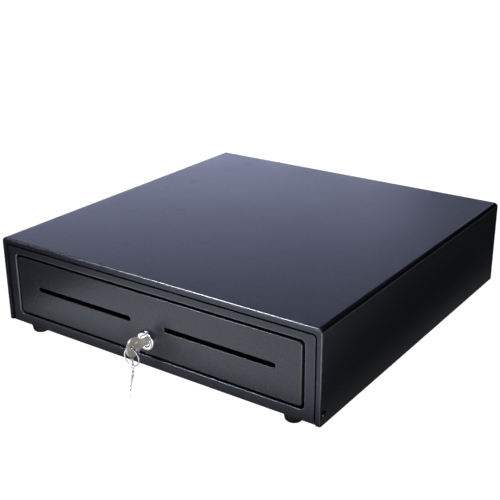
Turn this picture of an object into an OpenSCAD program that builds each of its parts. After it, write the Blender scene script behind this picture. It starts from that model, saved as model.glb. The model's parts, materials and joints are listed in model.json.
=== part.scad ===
// Electronic cash drawer: folded sheet-steel housing, roller-slide drawer with
// a till tray, key lock, and a solenoid latch behind the drawer.
// Millimetres. +Z up, the drawer front faces -Y, +X is right. The origin is the middle of
// the housing's underside, level with the base plate's lower face and in the middle of
// its four counter bolt holes. The counter top is foot_h below the origin.

/* [Housing] */
// Outside width of the cover
body_w = 410; // [400:1:430]
// Outside depth of the cover, front lip to rear lip
body_d = 415; // [415:1:430]
// Height of the steel body without its feet
body_h = 99; // [97:1:103]
// Height of the rubber feet
foot_h = 10; // [8:1:14]
// Thickness of the folded sheet steel
sheet = 1.2; // [1.0:0.1:1.2]
// Outside radius of the two long bends between top and sides
bend_r = 5; // [4:0.5:7]
// Width of the cover's front lip on the two sides
lip_side = 5; // [4:0.5:6]
// Width of the cover's front lip along the top
lip_top = 6; // [5:0.5:7]
// Distance of the front feet behind the front lip
foot_in = 13; // [12:1:16]
// Sideways distance of the feet from the middle
foot_x = 169; // [160:1:170]

/* [Drawer opening] */
// Width of the opening in the front frame
open_w = 373; // [373:1:375]
// Height of the opening in the front frame
open_h = 71.5; // [70:0.5:72]
// Height of the opening's lower edge above the steel body's underside
open_z = 11; // [10:0.5:12]
// Corner radius of the opening
open_r = 5; // [3:0.5:7]
// Gap all round between opening and drawer front
front_gap = 2.8; // [2:0.1:3]

/* [Drawer front] */
// Corner radius of the drawer front
front_r = 3.5; // [2:0.5:5]
// Height of the media slots
slot_h = 5.4; // [4:0.2:6]
// Inner end of each media slot from the middle
slot_x0 = 22; // [20:1:26]
// Outer end of each media slot from the middle
slot_x1 = 155; // [140:1:158]
// Height of the slots above the body's underside
slot_z = 47.5; // [45:0.5:50]
// Height of the lock axis above the body's underside
lock_z = 30; // [29:0.5:31]

/* [Slides] */
// Radius of the rollers fixed to the housing
front_roller_r = 10.2; // [10.2:0.1:10.2]
// Radius of the rollers fixed to the drawer
rear_roller_r = 9.1; // [9.0:0.05:9.15]
// Width of each roller
roller_w = 7; // [6:0.5:7]

/* [Till] */
// Depth of the note compartments
bill_d = 166; // [160:1:166]
// Number of note compartments
bill_n = 5; // [5:1:5]
// Number of coin cups in each of the two rows
coin_n = 4; // [3:1:5]

/* [Keys] */
// Width across the key bow
bow_d = 21; // [20:0.5:22]
// Thickness of the key
key_t = 2.2; // [1.8:0.1:2.2]
// Mean radius of the key ring
ring_r = 9.4; // [9:0.1:10]

/* [Hidden] */
$fn = 64;

// Shared values. Heights in the modules are measured up from the counter top.
// Names ending in 0 and 1 are the lower and upper ends along that axis.
half_w = body_w/2;
front_y = -body_d/2;           // front of the cover's front lip
rear_y = body_d/2;             // back of the cover's rear lip
body_z0 = foot_h;
body_z1 = foot_h + body_h;
face_y = front_y + sheet;      // face of the front frame and of the drawer front
face_back = face_y + sheet;
open_z0 = body_z0 + open_z;
open_z1 = open_z0 + open_h;
open_half = open_w/2;
base_top = body_z0 + sheet;    // upper face of the base plate
lock_axis_z = body_z0 + lock_z;
flange_t = 1.2;                // thickness of flanges that do not follow sheet
lap = 0.1;                     // how far joined solids overlap
screw_r = 2;
tight_hole_r = 2.05;
clear_hole_r = 2.1;

// ---- drawing helpers ----
// moves a piece from counter-top heights to the origin on the underside
module seat() translate([0, 0, -body_z0]) children();
// YZ outline drawn from x0 to x1
module along_x(x0, x1)
  translate([x0, 0, 0]) rotate([90, 0, 90]) linear_extrude(x1 - x0) children();
// XZ outline drawn from y0 to y1
module along_y(y0, y1)
  translate([0, y1, 0]) rotate([90, 0, 0]) linear_extrude(y1 - y0) children();
// XY outline drawn from z0 to z1
module along_z(z0, z1) translate([0, 0, z0]) linear_extrude(z1 - z0) children();
module box(x0, x1, y0, y1, z0, z1) translate([x0, y0, z0]) cube([x1 - x0, y1 - y0, z1 - z0]);
module rod_x(x0, x1, y, z, radius)
  translate([x0, y, z]) rotate([0, 90, 0]) cylinder(r = radius, h = x1 - x0);
module rod_y(y0, y1, x, z, radius)
  translate([x, y1, z]) rotate([90, 0, 0]) cylinder(r = radius, h = y1 - y0);
module rod_z(z0, z1, x, y, radius) translate([x, y, z0]) cylinder(r = radius, h = z1 - z0);
module rect(x0, x1, y0, y1) translate([x0, y0]) square([x1 - x0, y1 - y0]);
module round_rect(x0, x1, y0, y1, radius) {
  rect(x0 + radius, x1 - radius, y0, y1);
  rect(x0, x1, y0 + radius, y1 - radius);
  for (x = [x0 + radius, x1 - radius], y = [y0 + radius, y1 - radius])
    translate([x, y]) circle(r = radius);
}
// upright outline, rounded at its two top corners
module arch(half, z0, z1, radius) {
  rect(-half, half, z0, z1 - radius);
  rect(-half + radius, half - radius, z0, z1);
  for (x = [-half + radius, half - radius]) translate([x, z1 - radius]) circle(r = radius);
}
module both_sides() {
  children();
  mirror([1, 0, 0]) children();
}
module hex_nut(radius, height, hole_r) difference() {
  cylinder(r = radius, h = height, $fn = 6);
  translate([0, 0, -1]) cylinder(r = hole_r, h = 6);
}
module cross_slot(width, length, z, depth) {
  translate([-width/2, -length/2, z]) cube([width, length, depth]);
  translate([-length/2, -width/2, z]) cube([length, width, depth]);
}
// screw pointing down, its shank from z = 0 up to the head
module pan_screw(shank = 8) difference() {
  union() {
    cylinder(r = screw_r, h = shank);
    rotate_extrude() polygon([[0, shank], [3.7, shank], [3.5, shank + 1],
      [2.6, shank + 1.7], [0, shank + 1.9]]);
  }
  cross_slot(0.8, 4.4, shank + 0.9, 2);
}
// round wire along a list of points; up must not be parallel to the path
function unit(v) = v/norm(v);
module sweep(path, radius, sides, up) {
  last = len(path) - 1;
  tangent = [for (i = [0:last]) unit(path[min(i + 1, last)] - path[max(i - 1, 0)])];
  across = [for (i = [0:last]) unit(cross(tangent[i], up))];
  normal = [for (i = [0:last]) cross(across[i], tangent[i])];
  points = [for (i = [0:last], k = [0:sides-1])
    path[i] + radius*(cos(360*k/sides)*across[i] + sin(360*k/sides)*normal[i])];
  start_cap = [for (k = [0:sides-1]) k];
  end_cap = [for (k = [sides-1:-1:0]) last*sides + k];
  skin = [for (i = [0:last-1], k = [0:sides-1]) each [
    [i*sides + k, (i+1)*sides + k, (i+1)*sides + (k+1)%sides],
    [i*sides + k, (i+1)*sides + (k+1)%sides, i*sides + (k+1)%sides]]];
  polyhedron(points = points, faces = concat([start_cap], [end_cap], skin));
}
// helix points about an axis along x or y; steps is the points per turn
function helix_x(x0, x1, y, z, radius, turns, steps) = [for (i = [0:turns*steps])
  [x0 + (x1 - x0)*i/(turns*steps), y + radius*cos(360*i/steps), z + radius*sin(360*i/steps)]];
function helix_y(y0, y1, x, z, radius, turns, steps) = [for (i = [0:turns*steps])
  [x + radius*cos(360*i/steps), y0 + (y1 - y0)*i/(turns*steps), z + radius*sin(360*i/steps)]];
// point on the cubic curve with the four control points p
function bezier(p, t) = pow(1 - t, 3)*p[0] + 3*pow(1 - t, 2)*t*p[1]
  + 3*(1 - t)*t*t*p[2] + t*t*t*p[3];

// ---- housing ----
side_screw_y = front_y + 6.5;
side_screw_z = body_z0 + 10.5;
rear_screw_x = half_w - 5.5;
rear_screw_zs = [44, 86];
base_screw_x = 120;            // screws joining rear panel and base plate
base_screw_z = 24;
foot_ys = [front_y + foot_in, rear_y - foot_in - 8];
base_half = half_w - 2.8;
base_y1 = rear_y - 2.9;
base_flange_z1 = 34;
frame_inset = 1.4;             // front frame inside the cover's outline
frame_y1 = front_y + 16;       // rear edge of the front frame's side and top flanges
frame_flange_half = 198;
panel_inset = 1.8;             // rear panel inside the cover's outline
panel_y0 = rear_y - 2.6;
latch_screw_xs = [-98, 67.5];
latch_screw_y = 181;
jack_x0 = 80;
jack_x1 = 96;
jack_z0 = 44;
jack_z1 = 58;
jack_gap = 0.2;

// lip turned in from the cover's sides and top
module cover_lip(y0, side_w, top_w) along_y(y0, y0 + sheet) difference() {
  arch(half_w - 0.5*sheet, body_z0, body_z1 - 0.5*sheet, bend_r - 0.5*sheet);
  arch(half_w - side_w, body_z0 - 1, body_z1 - top_w, 2.5);
}
module cover() color("#16171c") difference() {
  union() {
    along_y(front_y, rear_y) difference() {
      arch(half_w, body_z0, body_z1, bend_r);
      arch(half_w - sheet, body_z0 - 1, body_z1 - sheet, bend_r - sheet);
    }
    cover_lip(front_y, lip_side, lip_top);
    cover_lip(rear_y - sheet, 9, 9);
  }
  both_sides() rod_x(half_w - 3, half_w + 1, side_screw_y, side_screw_z, clear_hole_r);
  for (side = [-1, 1], z = rear_screw_zs)
    rod_y(rear_y - 3, rear_y + 1, side*rear_screw_x, z, clear_hole_r);
}

// two long raised ribs; inset shrinks their outline
module base_ribs(z0, z1, inset) for (side = [-1, 1])
  let (x = side*95, half = 14 - inset)
    along_z(z0, z1) round_rect(x - half, x + half, -150 + inset, 130 - inset, 13.9 - inset);
module base_plate() color("#1b1c20") difference() {
  union() {
    box(-base_half, base_half, front_y + 2*sheet + 0.2, base_y1, body_z0, base_top);
    both_sides() box(base_half - flange_t, base_half, front_y + 20, base_y1 - flange_t,
      base_top - lap, base_flange_z1);
    box(-base_half, base_half, base_y1 - flange_t, base_y1, base_top - lap, base_flange_z1);
    base_ribs(base_top, base_top + 2.5, 0);
  }
  // the ribs are hollow from below
  base_ribs(body_z0 - 1, base_top + 1.3, 1.2);
  for (side = [-1, 1], y = foot_ys)
    rod_z(body_z0 - 1, body_z0 + 5, side*foot_x, y, tight_hole_r);
  // counter bolt holes
  for (side = [-1, 1], y = [-120, 120]) rod_z(body_z0 - 1, body_z0 + 5, side*195, y, 2.75);
  for (x = latch_screw_xs) rod_z(body_z0 - 1, body_z0 + 5, x, latch_screw_y, tight_hole_r);
  for (side = [-1, 1])
    rod_y(rear_y - 6, rear_y, side*base_screw_x, base_screw_z, clear_hole_r);
}

module front_frame() color("#1b1c20") difference() {
  union() {
    along_y(face_y, face_back) difference() {
      arch(half_w - frame_inset, body_z0, body_z1 - frame_inset, bend_r - frame_inset);
      round_rect(-open_half, open_half, open_z0, open_z1, open_r);
    }
    // collar around the opening
    along_y(face_back - lap, face_back + 7.5) difference() {
      round_rect(-open_half - sheet, open_half + sheet, open_z0 - sheet, open_z1 + sheet,
        open_r + sheet);
      round_rect(-open_half, open_half, open_z0, open_z1, open_r);
    }
    both_sides() box(half_w - frame_inset - flange_t, half_w - frame_inset,
      face_back - lap, frame_y1, body_z0 + 0.05, 98);
    box(-frame_flange_half, frame_flange_half, face_back - lap, frame_y1,
      body_z1 - frame_inset - sheet, body_z1 - frame_inset);
    box(-frame_flange_half, frame_flange_half, face_back - lap, front_y + 24,
      base_top, base_top + sheet);
  }
  both_sides() rod_x(half_w - 3, half_w + 1, side_screw_y, side_screw_z, tight_hole_r);
  for (side = [-1, 1])
    rod_z(body_z0 - 1, body_z0 + 4, side*foot_x, foot_ys[0], tight_hole_r);
}

module rear_panel() color("#1b1c20") difference() {
  union() {
    along_y(panel_y0, panel_y0 + sheet)
      arch(half_w - panel_inset, base_top + 0.4, body_z1 - panel_inset, bend_r - panel_inset);
    box(-196, 196, rear_y - 15, panel_y0 + lap,
      body_z1 - panel_inset - sheet, body_z1 - panel_inset);
  }
  for (side = [-1, 1], z = rear_screw_zs)
    rod_y(rear_y - 5, rear_y + 1, side*rear_screw_x, z, tight_hole_r);
  for (side = [-1, 1])
    rod_y(rear_y - 5, rear_y + 1, side*base_screw_x, base_screw_z, tight_hole_r);
  box(jack_x0 - jack_gap, jack_x1 + jack_gap, rear_y - 5, rear_y,
    jack_z0 - jack_gap, jack_z1 + jack_gap);
}

module foot(x, y) color("#101012") translate([x, y, 0]) difference() {
  rotate_extrude() polygon([[0, 0], [7.8, 0], [8.8, 0.8], [10.4, foot_h - 1],
    [10.4, foot_h], [0, foot_h]]);
  translate([0, 0, -1]) cylinder(r = 4.6, h = 6);
  translate([0, 0, -1]) cylinder(r = clear_hole_r, h = foot_h + 2);
}
foot_head_z = 2.8;             // lower face of the foot screws' heads
module foot_screws() color("silver") for (side = [-1, 1], y = foot_ys)
  translate([side*foot_x, y, 0]) difference() {
    union() {
      translate([0, 0, foot_head_z]) cylinder(r = 3.8, h = 2.2);
      cylinder(r = screw_r, h = base_top + 4.6);
    }
    translate([0, 0, -1]) cylinder(r = 5, h = foot_head_z + 1);
    cross_slot(1, 5.2, 2, 1.8);
  }
module case_screws() color("silver") {
  both_sides() translate([half_w - 8, side_screw_y, side_screw_z])
    rotate([0, 90, 0]) pan_screw();
  for (side = [-1, 1], z = rear_screw_zs)
    translate([side*rear_screw_x, rear_y - 8, z]) rotate([-90, 0, 0]) pan_screw();
  for (side = [-1, 1])
    translate([side*base_screw_x, panel_y0 + sheet - 8, base_screw_z])
      rotate([-90, 0, 0]) pan_screw();
}

// ---- slides, right-hand side; the left is its mirror image ----
rail_x1 = open_half + 0.7;     // outer face of the outer rail's web
rail_z0 = 30;
rail_z1 = 51;
slide_y0 = front_y + 13.5;
slide_y1 = 178;
front_roller_y = front_y + 24.5;
front_roller_z = 41.4;
rear_roller_y = 150;           // drawer shut
rear_roller_z = 40.4;
roller_x1 = rail_x1 - 2.8;
roller_x0 = roller_x1 - roller_w;
pin_r = 3;
pin_hole_r = 3.05;
pin_collar_r = 4.2;            // between roller and rail
pin_head_r = 4.4;              // on the far side of the sheet
pin_cap_r = 4.8;               // holds the roller on
pan_half = 174.4;              // half width of the drawer pan
inner_rail_y0 = front_y + 15.5;
inner_rail_y1 = 162;
inner_rail_z1 = 52.9;

module slide_bracket() color("#b9bcc0") difference() {
  union() {
    box(176, rail_x1 + flange_t, front_y + 25, slide_y1, base_top, base_top + sheet);
    box(rail_x1, rail_x1 + flange_t, slide_y0, slide_y1, base_top, 70);
  }
  rod_x(rail_x1 - 1, rail_x1 + 3, front_roller_y, front_roller_z, pin_hole_r);
  // clears the front frame's lower flange
  box(170, 192, front_y + 10, front_y + 25, body_z0, base_top + 1.6);
  for (y = [-110, 0, 110])
    along_x(rail_x1 - 1, rail_x1 + 3) round_rect(y - 22, y + 22, 56, 64, 3.9);
}
module outer_rail() color("#c9ccd0") difference() {
  union() {
    box(rail_x1 - sheet, rail_x1, slide_y0, slide_y1, rail_z0, rail_z1);
    for (z = [rail_z0, rail_z1 - sheet])
      box(rail_x1 - 10.8, rail_x1, front_y + 39.5, slide_y1, z, z + sheet);
    box(rail_x1 - 10, rail_x1 - 1, slide_y1 - sheet, slide_y1, rail_z0, rail_z1);
  }
  rod_x(rail_x1 - 3, rail_x1 + 1, front_roller_y, front_roller_z, pin_hole_r);
}
module front_pin_disc(x0, x1, radius) rod_x(x0, x1, front_roller_y, front_roller_z, radius);
module front_roller_pins() color("silver") both_sides() {
  front_pin_disc(roller_x0 - 1.2, roller_x0 - 0.2, pin_cap_r);
  front_pin_disc(roller_x0 - 0.3, rail_x1 + 2.6, pin_r);
  front_pin_disc(roller_x1 + 0.1, rail_x1 - sheet, pin_collar_r);
  front_pin_disc(rail_x1 + flange_t, rail_x1 + 2.6, pin_head_r);
}
module rear_pin_disc(x0, x1, radius) rod_x(x0, x1, rear_roller_y, rear_roller_z, radius);
module rear_roller_pins() color("silver") both_sides() {
  rear_pin_disc(pan_half + 1.3, roller_x0 - 0.1, pin_collar_r);
  rear_pin_disc(pan_half - 1.2, roller_x1 + 0.3, pin_r);
  rear_pin_disc(roller_x1 + 0.2, roller_x1 + 1.1, pin_cap_r);
  rear_pin_disc(pan_half - 1.2, pan_half + 0.1, pin_head_r);
}
// both side faces have a ring-shaped recess 0.5 deep
module roller(radius, y, z) color("#d8d8d4") translate([roller_x0, y, z])
  rotate([0, 90, 0]) rotate_extrude() polygon([
    [pin_hole_r, 0], [5.4, 0], [5.4, 0.5], [radius - 2, 0.5], [radius - 2, 0],
    [radius - 0.6, 0], [radius, 0.6], [radius, roller_w - 0.6], [radius - 0.6, roller_w],
    [radius - 2, roller_w], [radius - 2, roller_w - 0.5], [5.4, roller_w - 0.5],
    [5.4, roller_w], [pin_hole_r, roller_w]]);
module front_roller() roller(front_roller_r, front_roller_y, front_roller_z);
module rear_roller() roller(rear_roller_r, rear_roller_y, rear_roller_z);
module rail_end_stop() color("#151515") difference() {
  box(roller_x0 + 0.4, rail_x1 - sheet - 0.2, rear_roller_y + 9.8, slide_y1 - sheet,
    rail_z0 + sheet, rail_z1 - sheet);
  box(roller_x0, roller_x0 + 5, rear_roller_y + 13, 172, rail_z0 + 4, rail_z1 - 4);
}
module inner_rail() color("#c9ccd0") difference() {
  union() {
    box(pan_half + 0.1, pan_half + 1.3, inner_rail_y0, inner_rail_y1, 33, inner_rail_z1);
    box(pan_half + 0.1, roller_x1 - 0.8, inner_rail_y0, inner_rail_y1,
      inner_rail_z1 - flange_t, inner_rail_z1);
  }
  rod_x(pan_half - 1, pan_half + 3, rear_roller_y, rear_roller_z, pin_hole_r);
}

// ---- drawer ----
front_z0 = open_z0 + front_gap;
front_z1 = open_z1 - front_gap;
front_half = open_half - front_gap;
slot_mid_z = body_z0 + slot_z;
pan_y0 = face_y + 1.4;
pan_y1 = 134;
pan_z0 = 25.2;
pan_z1 = 84;
stud_xz = [[165, 35], [165, 79]];

// the two media slots, widened all round by extra
module slots(extra) for (side = [-1, 1])
  let (x0 = side > 0 ? slot_x0 : -slot_x1, x1 = side > 0 ? slot_x1 : -slot_x0,
      half = slot_h/2 + extra)
    round_rect(x0 - extra, x1 + extra, slot_mid_z - half, slot_mid_z + half, half - 0.01);
module drawer_front() color("#1c1d22") difference() {
  union() {
    along_y(face_y, face_back)
      round_rect(-front_half, front_half, front_z0, front_z1, front_r);
    // rim turned back all round
    along_y(face_back - lap, face_y + 11) difference() {
      round_rect(-front_half, front_half, front_z0, front_z1, front_r);
      round_rect(-front_half + sheet, front_half - sheet, front_z0 + sheet, front_z1 - sheet,
        front_r - sheet);
    }
    both_sides() for (p = stud_xz) rod_y(face_back - lap, face_y + 9, p[0], p[1], screw_r);
  }
  along_y(face_y - 1, face_y + 3) slots(0);
  rod_y(face_y - 1, face_y + 3, 0, lock_axis_z, 8.6);
}
module front_nuts() color("silver") both_sides() for (p = stud_xz)
  translate([p[0], pan_y0 + sheet + 3.2, p[1]]) rotate([90, 0, 0])
    hex_nut(4.04, 3.2, tight_hole_r);
module drawer_pan() color("#24252a") difference() {
  box(-pan_half, pan_half, pan_y0, pan_y1, pan_z0, pan_z1);
  box(-pan_half + sheet, pan_half - sheet, pan_y0 + sheet, pan_y1 - sheet,
    pan_z0 + sheet, pan_z1 + 1);
  along_y(pan_y0 - 1, pan_y0 + 3) slots(1.2);
  rod_y(pan_y0 - 1, pan_y0 + 3, 0, lock_axis_z, 8.7);
  both_sides() for (p = stud_xz) rod_y(pan_y0 - 1, pan_y0 + 3, p[0], p[1], 2.2);
  rod_y(pan_y1 - 3, pan_y1 + 1, 0, lock_axis_z, 6.1);
  for (x = [-120, -60, 60, 120])
    along_z(pan_z0 - 1, pan_z0 + 3) round_rect(x - 12, x + 12, -20, 40, 11.9);
}
// two arms behind the pan carry the upright pin that the latch hook catches
module striker() color("#b9bcc0") {
  box(-16, 16, pan_y1, pan_y1 + 1.6, 50, 72);
  for (z = [53, 65.4]) box(-6, 6, pan_y1 + 1.5, 157, z, z + 1.6);
  rod_z(54, 66, 0, 152, 2.5);
}

// ---- lock ----
rod_r = 2.5;
barrel_r = 8.5;
module lock_barrel() color("#d9dadc") difference() {
  union() {
    translate([0, face_y - 3.9, lock_axis_z]) rotate([-90, 0, 0]) rotate_extrude() polygon([
      [0, 0.8], [7, 0.8], [7.6, 0.1], [9.2, 0], [10.2, 0.4], [10.8, 1.3], [10.8, 3.9], [0, 3.9]]);
    rod_y(face_y - lap, front_y + 23, 0, lock_axis_z, barrel_r);
  }
  rod_y(face_y - 7, front_y + 24, 0, lock_axis_z, 6.05);
}
module lock_nut() color("#c4c6c9")
  translate([0, pan_y0 + sheet + 4, lock_axis_z]) rotate([90, 0, 0])
    hex_nut(12.7, 4, barrel_r + 0.05);
module lock_cylinder() color("#e2e3e5") difference() {
  rod_y(face_y - 3.3, front_y + 25, 0, lock_axis_z, 6);
  // keyway
  box(-1.25, 1.25, face_y - 7, face_y + 18, lock_axis_z - 4.1, lock_axis_z + 4.1);
}
module lock_rod() color("#c4c6c9") {
  rod_y(front_y + 25.1, 146, 0, lock_axis_z, rod_r);
  along_y(front_y + 25, front_y + 27)
    round_rect(-5, 5, lock_axis_z - 11, lock_axis_z + 7, 4.9);
  along_y(141, 146) round_rect(-11, 4, lock_axis_z - 3.5, lock_axis_z + 3.5, 3.4);
}
module rod_bush() color("#e8e6df") difference() {
  union() {
    rod_y(pan_y1 - sheet, pan_y1 + 2, 0, lock_axis_z, 6.05);
    rod_y(pan_y1 - sheet - 1.4, pan_y1 - sheet, 0, lock_axis_z, 8.5);
  }
  rod_y(pan_y1 - 6, pan_y1 + 4, 0, lock_axis_z, rod_r + 0.05);
}

// ---- keys ----
bow_y = front_y - 19.8;
bow_z = lock_axis_z + 1;
ring_hole = [-3.5, 0.6];       // from the bow's centre, along y and z
ring_hole_r = 2.3;
hole_y = bow_y + ring_hole[0];
hole_z = bow_z + ring_hole[1];
wire_r = 0.85;
// the ring hangs on the lower edge of the key's hole
ring_top = hole_z - ring_hole_r + wire_r + 0.1;
ring_z = ring_top - ring_r;
spare_z = ring_z - ring_r;
spare_blade = 22;

// key outlines have the bow centre at their origin and the blade along their first axis
// here blade and teeth are centred on the lock axis, 1 mm below the bow centre
module key_outline() difference() {
  union() {
    circle(r = bow_d/2);
    rect(bow_d/2 - 3, 16.7, -5.4, 3.2);
    rect(16, 37, -4.8, 2.2);
    for (i = [0:3]) rect(19.4 + i*4.2, 21.8 + i*4.2, 2.1, 2.6 + 0.2*(i % 2));
  }
  translate(ring_hole) circle(r = ring_hole_r);
  for (y = [3.8, -4.2]) translate([3.4, y]) circle(r = 1.5);
}
module key() color("#b5b2aa")
  translate([0, bow_y, bow_z]) along_x(-key_t/2, key_t/2) key_outline();
module key_ring() color("#d9dadc") translate([0, hole_y, ring_z])
  rotate([90, 0, 0]) rotate_extrude() translate([ring_r, 0]) circle(r = wire_r);
module spare_key_outline() difference() {
  union() {
    circle(r = bow_d/2);
    rect(bow_d/2 - 3, bow_d/2 + 3.6, -4.6, 4.6);
    rect(bow_d/2, bow_d/2 + 3.6 + spare_blade, -3.7, 2.2);
    for (i = [0:4]) let (x = bow_d/2 + 6 + i*(spare_blade - 5)/5)
      rect(x, x + 2.2, 2, 2.9 + 0.45*(i % 2));
  }
  translate([-3.5, -0.8]) circle(r = ring_hole_r);
  for (y = [3.6, -3.9]) translate([3.2, y]) circle(r = 1.5);
}
module spare_key() color("#b5b2aa") translate([0, hole_y, spare_z])
  rotate([0, 0, -55]) rotate([0, 25, 0]) translate([4.05, 0, 0.8]) rotate([90, 0, 0])
    translate([0, 0, -key_t/2]) linear_extrude(key_t) spare_key_outline();

// ---- till ----
wall = 2;
till_half = 171.4;
till_y0 = -176;
till_y1 = 130;
till_z0 = 44;
till_z1 = 86.2;
bay_half = till_half - wall;
bill_y1 = till_y1 - wall;
bill_y0 = bill_y1 - bill_d;
cell_w = (2*bay_half - (bill_n - 1)*wall)/bill_n;
function cell_x0(i) = -bay_half + i*(cell_w + wall);
clip_y = 118;
clip_z = 80;
clip_len = 86;
clip_tilt = 20.6;
clip_rod_r = 1.5;
coin_half = bay_half - 1;
coin_y0 = till_y0 + wall + 1;
coin_y1 = bill_y0 - wall - 1;
coin_z0 = till_z0 + wall + 0.2;
coin_z1 = 83;
cup_w = (2*coin_half - (coin_n + 1)*wall)/coin_n;
cup_d = (coin_y1 - coin_y0 - 3*wall)/2;
cup_front_r = 22;
cup_rear_r = 6;

module till_tray() color("#1a1a1b") difference() {
  union() {
    box(-till_half, till_half, till_y0, till_y1, till_z0, till_z1 - 0.1);
    box(-till_half - 4.2, till_half + 4.2, till_y0 - 2, till_y1 + 5.2, till_z1 - 2.1, till_z1);
  }
  // coin bay
  box(-bay_half, bay_half, till_y0 + wall, bill_y0 - wall, till_z0 + wall, till_z1 + 1);
  // note compartments
  for (i = [0:bill_n - 1])
    box(cell_x0(i), cell_x0(i) + cell_w, bill_y0, bill_y1, till_z0 + wall, till_z1 + 1);
  // the wall towards the coins and the dividers' front ends step down
  box(-bay_half, bay_half, bill_y0 - wall - 1, bill_y0 + 30, 74, till_z1 + 1);
  rod_x(-till_half + 1, till_half - 1, clip_y, clip_z, clip_rod_r + 0.1);
}
// side view of a cup: large radius at the bottom front, small one at the bottom rear
module cup_outline(y0) {
  floor_z = coin_z0 + wall;
  rect(y0, y0 + cup_d, floor_z + cup_front_r, coin_z1 + 1);
  rect(y0 + cup_front_r, y0 + cup_d - cup_rear_r, floor_z, coin_z1);
  rect(y0 + cup_front_r, y0 + cup_d, floor_z + cup_rear_r, coin_z1);
  translate([y0 + cup_front_r, floor_z + cup_front_r]) circle(r = cup_front_r);
  translate([y0 + cup_d - cup_rear_r, floor_z + cup_rear_r]) circle(r = cup_rear_r);
}
module coin_tray() color("#1a1a1b") difference() {
  box(-coin_half, coin_half, coin_y0, coin_y1, coin_z0, coin_z1);
  for (i = [0:coin_n - 1], j = [0, 1])
    let (x0 = -coin_half + wall + i*(cup_w + wall))
      along_x(x0, x0 + cup_w) cup_outline(coin_y0 + wall + j*(cup_d + wall));
}
module clip_rod() color("silver")
  rod_x(-till_half + 1.1, till_half - 1.1, clip_y, clip_z, clip_rod_r);
// clips are numbered from 1 at the left; each slopes down to the front from the rod
module bill_clip(number) color("#1f1f21")
  translate([cell_x0(number - 1) + cell_w/2, clip_y, clip_z]) rotate([clip_tilt, 0, 0])
    difference() {
      union() {
        rod_x(-24, 24, 0, 0, 4);
        box(-21, 21, -30, 0, -1.6, 1.6);
        box(-15, 15, -clip_len, -28, -1.6, 1.6);
        rod_x(-20, 20, -clip_len, 0, 3.2);
      }
      rod_x(-30, 30, 0, 0, 1.58);
      along_z(-5, 5) round_rect(-8, 8, -76, -40, 4);
      along_z(-5, 5) round_rect(-12, 12, -24, -10, 3);
    }

// ---- latch ----
bracket_x0 = -92;
bracket_x1 = 62;
bracket_y0 = 160;
bracket_y1 = 202;
deck_z = 48;                   // upper face of the latch bracket
hook_z0 = 57.5;
hook_z1 = hook_z0 + 3;
pivot_x = 10;
pivot_y = 172;
pivot_r = 2.5;
hook_open = 25;                // turn of the hook from latched to open
tail_len = 14;
tail_turn = 12.5;              // turn of the hook's tail when latched, clockwise from above
pin_x = pivot_x - tail_len*sin(hook_open - tail_turn);
plunger_y = 185.8;
plunger_z = 59;
plunger_r = 4.5;
solenoid_x0 = -52;
solenoid_x1 = -14;
bobbin_x0 = -49.9;
bobbin_x1 = -16.1;
ejector_x = -70;
ejector_z = 62;
switch_x0 = 22.7;
switch_x1 = 32.7;
switch_y0 = 165;
switch_y1 = 185;
switch_z1 = 62.1;
switch_screw_x = 29.4;
switch_screw_ys = [170, 180];

module latch_bracket() color("#b9bcc0") difference() {
  union() {
    box(bracket_x0, bracket_x1, bracket_y0, bracket_y1, deck_z - sheet, deck_z);
    for (x = [bracket_x0, bracket_x1 - sheet])
      box(x, x + sheet, bracket_y0, bracket_y1, base_top, deck_z - lap);
    for (x = [bracket_x0 - 12, bracket_x1 - 1])
      box(x, x + 13, bracket_y0, bracket_y1, base_top, base_top + sheet);
    // pivot post, ejector guide plate and switch block
    rod_z(deck_z - lap, hook_z0 - 0.1, pivot_x, pivot_y, 4.5);
    box(-86, -58, bracket_y0, bracket_y0 + 1.6, deck_z - lap, 72);
    box(switch_x0, switch_x1, switch_y0, switch_y1, deck_z - lap, 55.6);
  }
  rod_z(deck_z - 5, hook_z0 + 1, pivot_x, pivot_y, pivot_r + 0.05);
  rod_y(158, 164, ejector_x, ejector_z, 3.1);
  for (x = latch_screw_xs) rod_z(base_top - 1, base_top + 3, x, latch_screw_y, 2.2);
}
module latch_screws() color("silver") {
  for (x = latch_screw_xs) translate([x, latch_screw_y, base_top + sheet - 8]) pan_screw();
  for (y = switch_screw_ys) {
    rod_z(55.8, switch_z1 + 0.1, switch_screw_x, y, 1.2);
    rod_z(switch_z1, switch_z1 + 1.2, switch_screw_x, y, 2.2);
  }
}
module latch_pivot_pin() color("silver") {
  rod_z(deck_z - 3.2, hook_z1 + 0.3, pivot_x, pivot_y, pivot_r);
  rod_z(hook_z1 + 0.2, hook_z1 + 1.8, pivot_x, pivot_y, 4.5);
  rod_z(deck_z - 3.2, deck_z - sheet, pivot_x, pivot_y, 4);
}
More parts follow.
